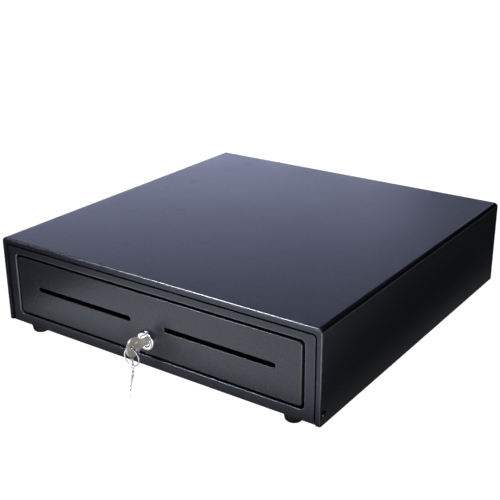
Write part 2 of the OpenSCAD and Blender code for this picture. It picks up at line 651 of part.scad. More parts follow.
// drawn in the latched position about the pivot, then turned to the open one
module latch_hook() color("#c9ccd0") translate([pivot_x, pivot_y, 0]) rotate([0, 0, hook_open])
  along_z(hook_z0, hook_z1) difference() {
    union() {
      circle(r = 7);
      polygon([[-3, 0], [-3, -23.1], [-15, -23.1], [-15, -26], [-7, -30.5], [3, -30.5],
        [5, -28], [5, 0]]);
      rotate(-tail_turn) {
        rect(-5, 5, 0, tail_len);
        translate([0, tail_len]) circle(r = 5);
      }
    }
    circle(r = pivot_r + 0.05);
    // slot for the plunger pin
    rotate(-tail_turn) {
      rect(-1.65, 1.65, tail_len - 1.4, tail_len + 1.4);
      for (y = [tail_len - 1.4, tail_len + 1.4]) translate([0, y]) circle(r = 1.65);
    }
  }
module solenoid_plunger() color("#b5b8bc") difference() {
  union() {
    rod_x(-48, -1.5, plunger_y, plunger_z, plunger_r);
    box(-2, 12, plunger_y - 4.4, plunger_y + 4.4, plunger_z - 5.5, plunger_z + 5.5);
  }
  // fork around the hook's tail
  box(0, 13, plunger_y - 5, plunger_y + 5, hook_z0 - 0.4, hook_z1 + 0.4);
  rod_z(plunger_z - 7, plunger_z + 7, pin_x, plunger_y, 1.55);
}
module plunger_pin() color("silver") {
  rod_z(plunger_z - 6.5, plunger_z + 6.5, pin_x, plunger_y, 1.5);
  rod_z(plunger_z + 5.6, plunger_z + 6.6, pin_x, plunger_y, 2.6);
}
module solenoid_frame() color("#c9ccd0") difference() {
  union() {
    box(solenoid_x0, solenoid_x1, plunger_y - 9.6, plunger_y + 9.6, deck_z, deck_z + 1.5);
    for (x = [solenoid_x0, solenoid_x1 - 2])
      box(x, x + 2, plunger_y - 9.6, plunger_y + 9.6, deck_z + 1.4, 69);
  }
  rod_x(solenoid_x0 - 2, solenoid_x1 + 2, plunger_y, plunger_z, plunger_r + 0.2);
}
module solenoid_bobbin() color("#e8e6df") difference() {
  union() {
    rod_x(bobbin_x0, bobbin_x1, plunger_y, plunger_z, 5.6);
    for (x = [bobbin_x0, bobbin_x1 - 1.2]) rod_x(x, x + 1.2, plunger_y, plunger_z, 9.2);
  }
  rod_x(solenoid_x0, solenoid_x1, plunger_y, plunger_z, plunger_r + 0.08);
}
module solenoid_coil() color("#c58a2e") difference() {
  rod_x(bobbin_x0 + 1.3, bobbin_x1 - 1.3, plunger_y, plunger_z, 8.7);
  rod_x(solenoid_x0, solenoid_x1, plunger_y, plunger_z, 5.7);
}
module plunger_spring() color("silver")
  sweep(helix_x(-13.2, -2.8, plunger_y, plunger_z, 5.7, 4, 16), 0.6, 6, [1, 0, 0]);
module kick_spring() color("silver")
  sweep(helix_y(143, 159.2, ejector_x, ejector_z, 4.7, 6, 16), 0.7, 6, [0, 1, 0]);
module ejector() color("#33343a") {
  rod_y(142, 194, ejector_x, ejector_z, 3);
  rod_y(134.5, 142.1, ejector_x, ejector_z, 6.5);
}
module microswitch() color("#1d1d1f") difference() {
  union() {
    box(switch_x0, switch_x1, switch_y0, switch_y1, 55.7, switch_z1);
    for (y = [167, 174, 181]) box(switch_x1 - lap, 36.2, y, y + 3, 58.6, 59.1);
  }
  for (y = switch_screw_ys) rod_z(54, 64, switch_screw_x, y, 1.25);
}
module switch_lever() color("silver") {
  box(21.4, 21.8, 160.5, 183, 57.6, 60.4);
  rod_z(57.6, 60.4, 21.9, 183, 0.7);
  rod_z(57.6, 60.4, 22.1, 161.2, 0.9);
}
module rj_jack() color("#1d1d1f") difference() {
  union() {
    box(jack_x0, jack_x1, rear_y - 19, rear_y - 1.2, jack_z0, jack_z1);
    box(jack_x0 - 2, jack_x1 + 2, rear_y - 4.4, rear_y - 2.8, jack_z0 - 2, jack_z1 + 2);
  }
  box(83, 93, rear_y - 14, rear_y, 47, 54.5);
  box(85.5, 90.5, rear_y - 14, rear_y, 54, 56.5);
}
// control points [x, y, z], from the solenoid to the jack
cable_points = [[-44, 197.6, 64], [-24, 201, 84], [74, 182, 82], [88, 186.2, 51]];
module cable_harness() color("#2a2a2c")
  sweep([for (i = [0:14]) bezier(cable_points, i/14)], 1.7, 8, [0, 1, 0.2]);

seat() cover();
seat() base_plate();
seat() front_frame();
seat() rear_panel();
seat() foot(-foot_x, foot_ys[0]);  // foot_front_left
seat() foot(foot_x, foot_ys[0]);  // foot_front_right
seat() foot(-foot_x, foot_ys[1]);  // foot_rear_left
seat() foot(foot_x, foot_ys[1]);  // foot_rear_right
seat() foot_screws();
seat() case_screws();
seat() mirror([1, 0, 0]) slide_bracket();  // slide_bracket_left
seat() slide_bracket();  // slide_bracket_right
seat() mirror([1, 0, 0]) outer_rail();  // outer_rail_left
seat() outer_rail();  // outer_rail_right
seat() front_roller_pins();
seat() mirror([1, 0, 0]) rail_end_stop();  // rail_end_stop_left
seat() rail_end_stop();  // rail_end_stop_right
seat() latch_bracket();
seat() latch_screws();
seat() latch_pivot_pin();
seat() solenoid_frame();
seat() solenoid_bobbin();
seat() solenoid_coil();
seat() plunger_spring();
seat() microswitch();
seat() kick_spring();
seat() rj_jack();
seat() cable_harness();
seat() mirror([1, 0, 0]) front_roller();  // front_roller_left
seat() front_roller();  // front_roller_right
seat() mirror([1, 0, 0]) rear_roller();  // rear_roller_left
seat() rear_roller();  // rear_roller_right
seat() drawer_front();
seat() drawer_pan();
seat() mirror([1, 0, 0]) inner_rail();  // inner_rail_left
seat() inner_rail();  // inner_rail_right
seat() rear_roller_pins();
seat() front_nuts();
seat() striker();
seat() lock_barrel();
seat() lock_nut();
seat() rod_bush();
seat() lock_cylinder();
seat() lock_rod();
seat() key();
seat() key_ring();
seat() spare_key();
seat() till_tray();
seat() coin_tray();
seat() clip_rod();
seat() bill_clip(1);  // bill_clip_1
seat() bill_clip(2);  // bill_clip_2
seat() bill_clip(3);  // bill_clip_3
seat() bill_clip(4);  // bill_clip_4
seat() bill_clip(5);  // bill_clip_5
seat() latch_hook();
seat() solenoid_plunger();
seat() plunger_pin();
seat() switch_lever();
seat() ejector();
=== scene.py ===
"""A black steel cash drawer with a lock, a key in it, and a spare key on a split ring.

X runs across the drawer (left is -X, seen from the front), the front faces -Y and Z is up.
The CAD frame's origin is on the housing's underside. Pieces are drawn in millimetres up from
the counter top, and seated in the frame, in metres, once they are finished.
"""
import bpy
import bmesh
import json
import math
from mathutils import Vector, Matrix
from mathutils.geometry import delaunay_2d_cdt


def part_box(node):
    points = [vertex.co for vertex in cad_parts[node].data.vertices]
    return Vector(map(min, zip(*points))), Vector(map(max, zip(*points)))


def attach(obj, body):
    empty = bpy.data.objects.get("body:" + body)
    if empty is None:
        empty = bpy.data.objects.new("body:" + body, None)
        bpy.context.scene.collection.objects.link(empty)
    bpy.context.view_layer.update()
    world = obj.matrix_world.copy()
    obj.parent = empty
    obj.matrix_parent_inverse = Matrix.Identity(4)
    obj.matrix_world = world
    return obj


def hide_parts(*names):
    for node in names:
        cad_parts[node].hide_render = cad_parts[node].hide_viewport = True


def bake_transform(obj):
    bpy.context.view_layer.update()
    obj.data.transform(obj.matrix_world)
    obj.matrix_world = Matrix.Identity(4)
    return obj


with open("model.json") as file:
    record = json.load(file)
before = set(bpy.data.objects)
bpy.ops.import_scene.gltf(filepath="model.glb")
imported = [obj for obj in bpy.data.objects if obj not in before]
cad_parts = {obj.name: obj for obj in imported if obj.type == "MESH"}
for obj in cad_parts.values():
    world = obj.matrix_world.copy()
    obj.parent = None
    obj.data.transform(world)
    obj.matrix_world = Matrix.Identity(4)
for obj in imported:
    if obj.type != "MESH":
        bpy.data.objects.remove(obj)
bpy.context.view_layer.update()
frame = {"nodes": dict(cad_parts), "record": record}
MM = 0.001
LIFT = 10.0  # from the counter top up to the frame's origin
NODES = frame["nodes"]
BODY_OF = {n: body for body, nodes in frame["record"]["behaviour"]["bodies"].items() for n in nodes}
SLOTS = {s["node"]: s["material_slot"] for s in frame["record"]["subparts"]}


def box_mm(node):
    """Low and high corners of a CAD node."""
    return tuple([c[0] / MM, c[1] / MM, c[2] / MM + LIFT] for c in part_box(node))


def middle(low, high):
    return [(a + b) / 2 for a, b in zip(low, high)]


# ------------------------------------------------------------------ shader building
INPUTS = {
    "base": "Base Color", "metal": "Metallic", "rough": "Roughness",
    "spec": "Specular IOR Level", "normal": "Normal", "coat": "Coat Weight",
    "coat_rough": "Coat Roughness", "aniso": "Anisotropic", "sss": "Subsurface Weight",
}


def toned(colour, factor):
    return tuple(c * factor for c in colour)


class Shader:
    """One material's node tree. Values may be numbers or the sockets of other nodes."""

    def __init__(self, name):
        self.material = bpy.data.materials.new(name)
        self.material.use_nodes = True
        self.tree = self.material.node_tree
        self.tree.nodes.clear()
        self.output = self.node("ShaderNodeOutputMaterial")
        self.surface = self.node("ShaderNodeBsdfPrincipled")
        self.link(self.surface.outputs[0], self.output.inputs["Surface"])
        self.coords = self.node("ShaderNodeTexCoord").outputs["Object"]

    def node(self, kind, **settings):
        node = self.tree.nodes.new(kind)
        for key, value in settings.items():
            setattr(node, key, value)
        return node

    def link(self, source, target):
        self.tree.links.new(source, target)

    def put(self, socket, value):
        if hasattr(value, "is_output"):
            self.link(value, socket)
        else:
            socket.default_value = value

    def noise(self, scale, detail=2.0, rough=0.5, coords=None):
        node = self.node("ShaderNodeTexNoise")
        self.link(coords or self.coords, node.inputs["Vector"])
        node.inputs["Scale"].default_value = scale
        node.inputs["Detail"].default_value = detail
        node.inputs["Roughness"].default_value = rough
        return node.outputs["Fac"]

    def streaks(self, scale, detail, rough, turn=(0, 0, 0)):
        """Noise with its own scale along each axis, turned by radians."""
        node = self.node("ShaderNodeMapping")
        self.link(self.coords, node.inputs["Vector"])
        node.inputs["Scale"].default_value = scale
        node.inputs["Rotation"].default_value = turn
        return self.noise(1, detail, rough, node.outputs[0])

    def cells(self, scale, feature="SMOOTH_F1", out="Distance"):
        node = self.node("ShaderNodeTexVoronoi", feature=feature)
        self.link(self.coords, node.inputs["Vector"])
        node.inputs["Scale"].default_value = scale
        return node.outputs[out]

    def ramp(self, value, low, high, start=0.0, end=1.0):
        """Maps low..high to start..end, held at both ends."""
        node = self.node("ShaderNodeMapRange")
        self.put(node.inputs["Value"], value)
        for key, number in zip(("From Min", "From Max", "To Min", "To Max"),
                               (low, high, start, end)):
            self.put(node.inputs[key], number)
        return node.outputs[0]

    def calc(self, operation, first, second):
        node = self.node("ShaderNodeMath", operation=operation)
        for socket, value in zip(node.inputs, (first, second, 0.0)):
            self.put(socket, value)
        return node.outputs[0]

    def mul(self, value, by):
        return self.calc("MULTIPLY", value, by)

    def add(self, value, more):
        return self.calc("ADD", value, more)

    def mix(self, under, over, amount):
        """Mixes two colours."""
        node = self.node("ShaderNodeMix", data_type="RGBA")
        self.put(node.inputs[0], amount)
        for socket, value in ((node.inputs[6], under), (node.inputs[7], over)):
            self.put(socket, value if hasattr(value, "is_output") else (*value[:3], 1.0))
        return node.outputs[2]

    def mix_value(self, under, over, amount):
        node = self.node("ShaderNodeMix", data_type="FLOAT")
        self.put(node.inputs[0], amount)
        self.put(node.inputs[2], under)
        self.put(node.inputs[3], over)
        return node.outputs[0]

    def edge(self, radius, gain):
        """0 on flats, rising to 1 on convex and concave edges."""
        bevel = self.node("ShaderNodeBevel")
        bevel.samples = 4
        bevel.inputs["Radius"].default_value = radius
        geometry = self.node("ShaderNodeNewGeometry")
        dot = self.node("ShaderNodeVectorMath", operation="DOT_PRODUCT")
        self.link(bevel.outputs[0], dot.inputs[0])
        self.link(geometry.outputs["Normal"], dot.inputs[1])
        turned = self.calc("SUBTRACT", 1.0, dot.outputs["Value"])
        strong = self.mul(turned, by=gain)
        clamp = self.node("ShaderNodeClamp")
        self.link(strong, clamp.inputs[0])
        return clamp.outputs[0]

    def bump(self, height, strength, depth, under=None):
        node = self.node("ShaderNodeBump")
        self.put(node.inputs["Height"], height)
        node.inputs["Strength"].default_value = strength
        node.inputs["Distance"].default_value = depth
        if under is not None:
            self.link(under, node.inputs["Normal"])
        return node.outputs[0]

    def set(self, **inputs):
        for key, value in inputs.items():
            if key == "base" and not hasattr(value, "is_output"):
                value = (*value[:3], 1.0)
            self.put(self.surface.inputs[INPUTS[key]], value)
        return self.material


# ------------------------------------------------------------------ materials
def powder(name, base=(0.011, 0.0114, 0.0145), rough=0.37, grain=1.0, highlight_strength=1.0, speckle=820,
           tint=(0.84, 0.90, 1.0)):
    """Black powder coat: closed orange-peel grain, faint flow variation, and a painted highlight
    that lightens edges and folds.
    """
    mat = Shader(name)
    fine = mat.noise(scale=1500, detail=2.0, rough=0.55)
    speck = mat.noise(scale=speckle, detail=3.0, rough=0.62)
    cell = mat.cells(scale=720)
    broad = mat.noise(scale=9, detail=3.0, rough=0.5)
    scuff = mat.streaks(scale=(38, 150, 60), detail=5.0, rough=0.62, turn=(0.3, 0.1, 0.5))
    scuff = mat.ramp(scuff, low=0.60, high=0.72)
    # kappa is how tightly the surface turns, from mark_folds
    kappa = mat.node("ShaderNodeAttribute", attribute_name="kappa", attribute_type="GEOMETRY")
    turn = mat.ramp(kappa.outputs["Fac"], low=0.06, high=0.18)
    fold = mat.ramp(kappa.outputs["Fac"], low=0.28, high=0.42)
    edge = mat.calc("MAXIMUM", mat.edge(radius=0.0007, gain=3.0), mat.mul(fold, by=0.8))
    patches = mat.ramp(mat.noise(scale=160, detail=3.0), low=0.36, high=0.62, start=0.35, end=1.0)
    painted_edge_highlight = mat.mul(edge, by=patches)
    fleck = mat.ramp(speck, low=0.56, high=0.70)

    colour = mat.mix(base, toned(base, 1.16), amount=mat.ramp(broad, low=0.3, high=0.7))
    colour = mat.mix(colour, (0.12, 0.125, 0.15), amount=mat.mul(fleck, by=0.22))
    # painted highlight: edges and folds lightened towards pale grey, in patches
    colour = mat.mix(colour, (0.15, 0.152, 0.165), amount=mat.mul(painted_edge_highlight, by=0.42 * highlight_strength))
    gloss = mat.add(rough - 0.05, mat.mul(broad, by=0.08))
    gloss = mat.add(gloss, mat.mul(fine, by=0.06))
    gloss = mat.add(gloss, mat.mul(scuff, by=0.07))
    gloss = mat.mix_value(gloss, 0.17, amount=mat.mul(turn, by=0.85))
    height = mat.add(mat.mul(fine, by=0.5), mat.mul(cell, by=0.8))
    # coarser speckle is lowered in step with its scale
    height = mat.add(height, mat.mul(speck, by=0.9 * 820 / speckle))
    normal = mat.bump(height, strength=0.22 * grain, depth=0.00022)
    normal = mat.bump(broad, strength=0.10, depth=0.0006, under=normal)
    mat.surface.inputs["Specular Tint"].default_value = (*tint, 1.0)
    return mat.set(base=colour, rough=gloss, normal=normal, spec=0.5,
                   coat=mat.mul(fold, by=highlight_strength), coat_rough=0.12)


def zinc(name, axis=1):
    """Bright zinc-plated sheet: rolling streaks along axis, faint spangle, brighter edges."""
    mat = Shader(name)
    base = (0.60, 0.62, 0.64)
    scale = [420, 420, 420]
    scale[axis] = 9
    streak = mat.streaks(scale=tuple(scale), detail=4.0, rough=0.6)
    spangle = mat.node("ShaderNodeSeparateColor")
    mat.link(mat.cells(scale=95, feature="F1", out="Color"), spangle.inputs[0])
    patch = mat.noise(scale=14, detail=4.0, rough=0.55)
    edge = mat.edge(radius=0.0005, gain=3.0)
    colour = mat.mix(base, toned(base, 0.78),
                     amount=mat.ramp(spangle.outputs[0], low=0, high=1, end=0.30))
    colour = mat.mix(colour, (0.40, 0.42, 0.45),
                     amount=mat.ramp(patch, low=0.45, high=0.72, end=0.45))
    colour = mat.mix(colour, (0.82, 0.83, 0.84), amount=mat.mul(edge, by=0.5))
    gloss = mat.add(0.24, mat.mul(streak, by=0.16))
    gloss = mat.add(gloss, mat.ramp(patch, low=0.4, high=0.75, end=0.12))
    normal = mat.bump(streak, strength=0.10, depth=0.0001)
    normal = mat.bump(mat.noise(scale=1800, detail=1.0), strength=0.05, depth=0.00006,
                      under=normal)
    return mat.set(base=colour, metal=1.0, rough=gloss, normal=normal, aniso=0.35)


def plated(name, base, dull, rough, smudge, scratch, metal=1.0):
    """Plated metal: hairline scratches, and smudges that turn it towards the dull colour."""
    mat = Shader(name)
    smear = mat.noise(scale=120, detail=4.0, rough=0.6)
    across = mat.streaks(scale=(260, 5200, 900), detail=3.0, rough=0.7, turn=(0.2, 0.5, 0.8))
    along = mat.streaks(scale=(5200, 300, 1100), detail=3.0, rough=0.7, turn=(0.9, 0.2, 0.3))
    hair = mat.calc("MAXIMUM", mat.ramp(across, low=0.66, high=0.74),
                    mat.ramp(along, low=0.67, high=0.75))
    edge = mat.edge(radius=0.0003, gain=3.0)
    colour = mat.mix(base, dull, amount=mat.ramp(smear, low=0.42, high=0.75, end=0.35))
    colour = mat.mix(colour, (0.90, 0.90, 0.90), amount=mat.mul(edge, by=0.5))
    gloss = mat.add(rough, mat.ramp(smear, low=0.35, high=0.75, end=smudge))
    gloss = mat.add(gloss, mat.mul(hair, by=0.12 * scratch))
    normal = mat.bump(hair, strength=0.12 * scratch, depth=0.00002)
    return mat.set(base=colour, metal=metal, rough=gloss, normal=normal)


def rubber(name):
    """Matt black rubber with dusty patches and paler edges."""
    mat = Shader(name)
    fine = mat.noise(scale=1300, detail=2.0)
    dust = mat.noise(scale=45, detail=4.0, rough=0.6)
    edge = mat.edge(radius=0.0008, gain=2.5)
    colour = mat.mix((0.017, 0.017, 0.018), (0.045, 0.044, 0.042),
                     amount=mat.ramp(dust, low=0.45, high=0.8, end=0.5))
    colour = mat.mix(colour, (0.07, 0.068, 0.065), amount=mat.mul(edge, by=0.35))
    gloss = mat.add(0.66, mat.mul(dust, by=0.2))
    return mat.set(base=colour, rough=gloss, spec=0.4,
                   normal=mat.bump(fine, strength=0.25, depth=0.0001))


def plastic(name, base=(0.022, 0.022, 0.023), rough=0.46, grain=0.3,
            edge_colour=(0.075, 0.075, 0.078), sss=0.0):
    """Moulded plastic: fine grain, faint flow marks, polished and lightened edges."""
    mat = Shader(name)
    cell = mat.cells(scale=1250)
    fine = mat.noise(scale=700, detail=2.0)
    flow = mat.streaks(scale=(12, 34, 12), detail=3.0, rough=0.5)
    edge = mat.edge(radius=0.0008, gain=2.5)
    colour = mat.mix(base, toned(base, 1.25),
                     amount=mat.ramp(flow, low=0.35, high=0.7, end=0.5))
    colour = mat.mix(colour, edge_colour, amount=mat.mul(edge, by=0.45))
    gloss = mat.add(rough - 0.04, mat.mul(fine, by=0.08))
    gloss = mat.mix_value(gloss, rough - 0.16, amount=mat.mul(edge, by=0.5))
    height = mat.add(cell, mat.mul(fine, by=0.4))
    mat.set(base=colour, rough=gloss, normal=mat.bump(height, strength=grain, depth=0.00008))
    if sss:
        mat.set(sss=sss)
        mat.surface.inputs["Subsurface Radius"].default_value = (0.004, 0.003, 0.002)
        mat.surface.inputs["Subsurface Scale"].default_value = 0.3
    return mat.material


def wound(name, base, groove, pitch):
    """Tape wound round the X axis, one ridge a turn."""
    mat = Shader(name)
    wave = mat.node("ShaderNodeTexWave", wave_type="BANDS", bands_direction="X")
    mat.link(mat.coords, wave.inputs["Vector"])
    wave.inputs["Scale"].default_value = 1.0 / pitch / 3.2
    wave.inputs["Distortion"].default_value = 0.6
    wave.inputs["Detail"].default_value = 1.0
    ridge = wave.outputs["Fac"]
    fine = mat.noise(scale=600, detail=2.0)
    colour = mat.mix(base, groove, amount=mat.ramp(ridge, low=0.0, high=0.25, start=1.0, end=0.0))
    colour = mat.mix(colour, toned(base, 0.7),
                     amount=mat.ramp(fine, low=0.4, high=0.7, end=0.3))
    height = mat.add(ridge, mat.mul(fine, by=0.2))
    return mat.set(base=colour, rough=0.38, coat=0.25, coat_rough=0.2,
                   normal=mat.bump(height, strength=0.4, depth=0.0003))


MATERIALS = {
    "powder_coat": powder("powder_coat_outer"),
    "powder_cover": powder("powder_coat_cover", base=(0.0075, 0.0078, 0.0105), rough=0.33,
                           speckle=460, grain=1.5, tint=(0.78, 0.835, 1.0)),
    "powder_inner": powder("powder_coat_inner", base=(0.024, 0.024, 0.027), rough=0.48, highlight_strength=0.6),
    "powder_front": powder("powder_coat_front", base=(0.011, 0.0115, 0.014), rough=0.25,
                           grain=0.3, highlight_strength=0.35),
    "screw_black": plated("screw_black", base=(0.10, 0.10, 0.105), dull=(0.05, 0.05, 0.052),
                          rough=0.22, smudge=0.18, scratch=1.0),
    "foot_rubber": rubber("foot_rubber"),
    "zinc_sheet": zinc("zinc_sheet"),
    "zinc_cross": zinc("zinc_sheet_cross", axis=0),
    "zinc_fastener": plated("zinc_fastener", base=(0.62, 0.63, 0.64), dull=(0.45, 0.46, 0.47),
                            rough=0.22, smudge=0.18, scratch=1.0),
    "lock_chrome": plated("lock_chrome", base=(0.97, 0.96, 0.94), dull=(0.84, 0.83, 0.815),
                          rough=0.07, smudge=0.08, scratch=0.6),
    "key_nickel": plated("key_nickel", base=(0.34, 0.325, 0.30), dull=(0.22, 0.21, 0.19),
                         rough=0.40, smudge=0.15, scratch=1.4, metal=0.55),
    # painted light: a near-white copy of the key nickel, so the spare key looks washed out by light
    "key_painted_light": plated("key_nickel_painted_light", base=(0.97, 0.965, 0.955), dull=(0.90, 0.89, 0.87),
                         rough=0.42, smudge=0.08, scratch=0.8, metal=0.25),
    "roller_nylon": plastic("roller_nylon", base=(0.76, 0.74, 0.69), rough=0.40, grain=0.12,
                            edge_colour=(0.84, 0.83, 0.79), sss=0.12),
    "till_plastic": plastic("till_plastic"),
    "electric_plastic": plastic("electric_plastic", base=(0.018, 0.018, 0.02), rough=0.36,
                                grain=0.15),
    "spring_wire": plated("spring_wire", base=(0.50, 0.50, 0.52), dull=(0.30, 0.30, 0.32),
                          rough=0.20, smudge=0.16, scratch=1.0),
    "coil_tape": wound("coil_tape", base=(0.62, 0.36, 0.07), groove=(0.20, 0.10, 0.02),
                       pitch=0.006),
    "cable_jacket": plastic("cable_jacket", base=(0.02, 0.02, 0.022), rough=0.42, grain=0.3),
    "wire_red": plastic("wire_red", base=(0.45, 0.03, 0.02), rough=0.38, grain=0.1,
                        edge_colour=(0.5, 0.08, 0.06)),
    "wire_black": plastic("wire_black", base=(0.02, 0.02, 0.02), rough=0.38, grain=0.1),
    "contact_gold": plated("contact_gold", base=(0.85, 0.62, 0.26), dull=(0.6, 0.42, 0.18),
                           rough=0.14, smudge=0.1, scratch=0.6),
    "copper": plated("copper_wire", base=(0.80, 0.38, 0.22), dull=(0.5, 0.22, 0.12),
                     rough=0.22, smudge=0.15, scratch=0.6),
}


# ------------------------------------------------------------------ outlines, as lists of pairs
def arc(cx, cy, r, start, end, n):
    """n + 1 points from start to end, in degrees."""
    turns = [math.radians(start + (end - start) * i / n) for i in range(n + 1)]
    return [(cx + r * math.cos(t), cy + r * math.sin(t)) for t in turns]


def circle(cx, cy, r, n):
    turns = [2 * math.pi * i / n for i in range(n)]
    return [(cx + r * math.cos(t), cy + r * math.sin(t)) for t in turns]


def rounded(x0, x1, z0, z1, r, n):
    """Closed rounded rectangle, anticlockwise."""
    r = max(r, 1e-4)
    return (arc(x1 - r, z0 + r, r, -90, 0, n) + arc(x1 - r, z1 - r, r, 0, 90, n)
            + arc(x0 + r, z1 - r, r, 90, 180, n) + arc(x0 + r, z0 + r, r, 180, 270, n))


def roll(radius, steps):
    """(reach, depth) at each step round a quarter-circle rolled edge."""
    for k in range(steps + 1):
        turn = math.radians(90 / steps * k)
        yield radius * (1 - math.sin(turn)), radius * (1 - math.cos(turn))


def soften(profile, r, steps=3):
    """Rounds the corners of a closed (radius, along) profile by r where there is room."""
    out = []
    count = len(profile)
    for i in range(count):
        here = Vector(profile[i])
        back = Vector(profile[(i - 1) % count]) - here
        ahead = Vector(profile[(i + 1) % count]) - here
        on_axis = here.x < 1e-6
        if (on_axis or back.length < 1e-6 or ahead.length < 1e-6
                or back.angle(ahead) > math.radians(165)):
            out.append(tuple(here))
            continue
        reach = min(r, back.length * 0.45, ahead.length * 0.45)
        first = here + back.normalized() * reach
        last = here + ahead.normalized() * reach
        for k in range(steps + 1):
            t = k / steps
            out.append(tuple((1 - t) ** 2 * first + 2 * t * (1 - t) * here + t * t * last))
    return out


def inside(point, outline):
    x, y = point
    odd = False
    xj, yj = outline[-1]
    for xi, yi in outline:
        if (yi > y) != (yj > y) and x < (xj - xi) * (y - yi) / (yj - yi) + xi:
            odd = not odd
        xj, yj = xi, yi
    return odd


def flat_triangles(outer, holes):
    """Triangles of a flat region with holes, as indices into outer and then each hole."""
    points, edges = [], []
    for outline in [outer] + holes:
        first, count = len(points), len(outline)
        points += outline
        edges += [(first + i, first + (i + 1) % count) for i in range(count)]
    verts, _, faces, sources, _, _ = delaunay_2d_cdt(
        [Vector(p) for p in points], edges, [], 0, 1e-6)
    source = {i: found[0] for i, found in enumerate(sources) if found}
    triangles = []
    for face in faces:
        centre = sum((verts[i] for i in face), Vector((0, 0))) / len(face)
        if inside(centre, outer) and not any(inside(centre, hole) for hole in holes):
            if all(i in source for i in face):
                triangles.append([source[i] for i in face])
    return triangles


# ------------------------------------------------------------------ meshes (mm in, metres out)
WELD = 0.0005


def add_object(name, data):
    o = bpy.data.objects.new(name, data)
    bpy.context.scene.collection.objects.link(o)
    return o


def shade(mesh, angle):
    """Smooth shading, sharp at edges over the angle in degrees."""
    for face in mesh.polygons:
        face.use_smooth = True
    mesh.set_sharp_from_angle(angle=math.radians(angle))


def tidy(bm):
    bmesh.ops.remove_doubles(bm, verts=bm.verts, dist=WELD)
    bmesh.ops.recalc_face_normals(bm, faces=bm.faces)


def finish(bm, name, smooth=35.0):
    """Turns a bmesh in millimetres into an object in metres."""
    tidy(bm)
    for v in bm.verts:
        v.co *= MM
    mesh = bpy.data.meshes.new(name)
    bm.to_mesh(mesh)
    bm.free()
    shade(mesh, smooth)
    mesh.update()
    return add_object(name, mesh)


def reopen(o):
    """The object's mesh as a bmesh in millimetres."""
    bm = bmesh.new()
    bm.from_mesh(o.data)
    for v in bm.verts:
        v.co /= MM
    return bm


def dissolve(bm, angle):
    bmesh.ops.dissolve_limit(bm, angle_limit=math.radians(angle), verts=bm.verts, edges=bm.edges)


def round_edges(bm, width, segments, angle):
    """Bevels the edges that turn by more than the angle in degrees."""
    bm.normal_update()
    edges = [e for e in bm.edges
             if len(e.link_faces) == 2 and e.calc_face_angle(0) > math.radians(angle)]
    if edges:
        bmesh.ops.bevel(bm, geom=edges, offset=width, segments=segments, profile=0.5,
                        affect="EDGES", clamp_overlap=True)


class Build:
    """Collects loops of points and joins them in one mesh."""

    def __init__(self):
        self.verts, self.faces = [], []

    def loop(self, points):
        first = len(self.verts)
        self.verts += [tuple(p) for p in points]
        return list(range(first, first + len(points)))

    def upright(self, outline, y):
        """Loop from (x, z) pairs, standing at y."""
        return self.loop([(x, y, z) for x, z in outline])

    def join(self, a, b, closed=True):
        n = len(a)
        for i in range(n if closed else n - 1):
            j = (i + 1) % n
            self.faces.append([a[i], a[j], b[j], b[i]])

    def chain(self, loops, closed=True):
        for a, b in zip(loops, loops[1:]):
            self.join(a, b, closed)

    def caps(self, first, last):
        self.faces += [first[::-1], last]

    def fill(self, outer, holes=(), axes=(0, 2)):
        """Fills a flat loop, leaving the holes. axes are the two it lies along."""
        outer2d, *holes2d = [[tuple(self.verts[i][a] for a in axes) for i in loop]
                             for loop in (outer, *holes)]
        ids = [i for loop in (outer, *holes) for i in loop]
        self.faces += [[ids[i] for i in t] for t in flat_triangles(outer2d, holes2d)]

    def bmesh(self):
        bm = bmesh.new()
        verts = [bm.verts.new(v) for v in self.verts]
        for face in self.faces:
            try:
                bm.faces.new([verts[i] for i in face])
            except ValueError:  # skips a face that is already there
                pass
        tidy(bm)
        return bm

    def object(self, name, smooth=35.0):
        return finish(self.bmesh(), name, smooth)


def lathe(name, profile, axis, at, n=72, smooth=30.0):
    """Turns a closed (radius, along) profile about an axis through at."""
    build = Build()
    rings = []
    for r, along in profile:
        points = []
        for u, v in circle(0, 0, r, n):
            p = {"x": (along, u, v), "y": (u, along, v), "z": (u, v, along)}[axis]
            points.append((p[0] + at[0], p[1] + at[1], p[2] + at[2]))
        rings.append(build.loop(points))
    build.chain(rings)
    build.join(rings[-1], rings[0])
    return build.object(name, smooth)


AXIS_R = 0.001  # turned solids stop just short of their axis


def pin(axis, r, start, end, at):
    """Plain round cutter for a screw hole."""
    return lathe("pin", [(AXIS_R, start), (r, start), (r, end), (AXIS_R, end)], axis, at, 24)


def sweep(name, path, section, up=None):
    """Sweeps a closed 2D section along a path of points with a steady frame, ends capped."""
    points = [Vector(p) for p in path]
    last = len(points) - 1
    tangents = [(points[min(i + 1, last)] - points[max(i - 1, 0)]).normalized()
                for i in range(last + 1)]
    build = Build()
    rings = []
    if up:
        aside = Vector(up)
    else:
        aside = Vector((0, 0, 1)) if abs(tangents[0].z) < 0.9 else Vector((1, 0, 0))
    x = tangents[0].cross(aside).normalized()
    for point, tangent in zip(points, tangents):
        if up:
            x = tangent.cross(aside).normalized()
        else:
            x = (x - tangent * x.dot(tangent)).normalized()
        y = tangent.cross(x)
        rings.append(build.loop([point + x * s + y * t for s, t in section]))
    build.chain(rings)
    build.caps(rings[0], rings[-1])
    return build.object(name, smooth=50)


def block(x, y, z):
    """Box with softened edges; each span is (low, high)."""
    bm = bmesh.new()
    bmesh.ops.create_cube(bm, size=1.0)
    for v in bm.verts:
        v.co = [(low + high) / 2 + c * (high - low) for c, (low, high) in zip(v.co, (x, y, z))]
    round_edges(bm, width=0.25, segments=2, angle=40)
    return finish(bm, "strip")


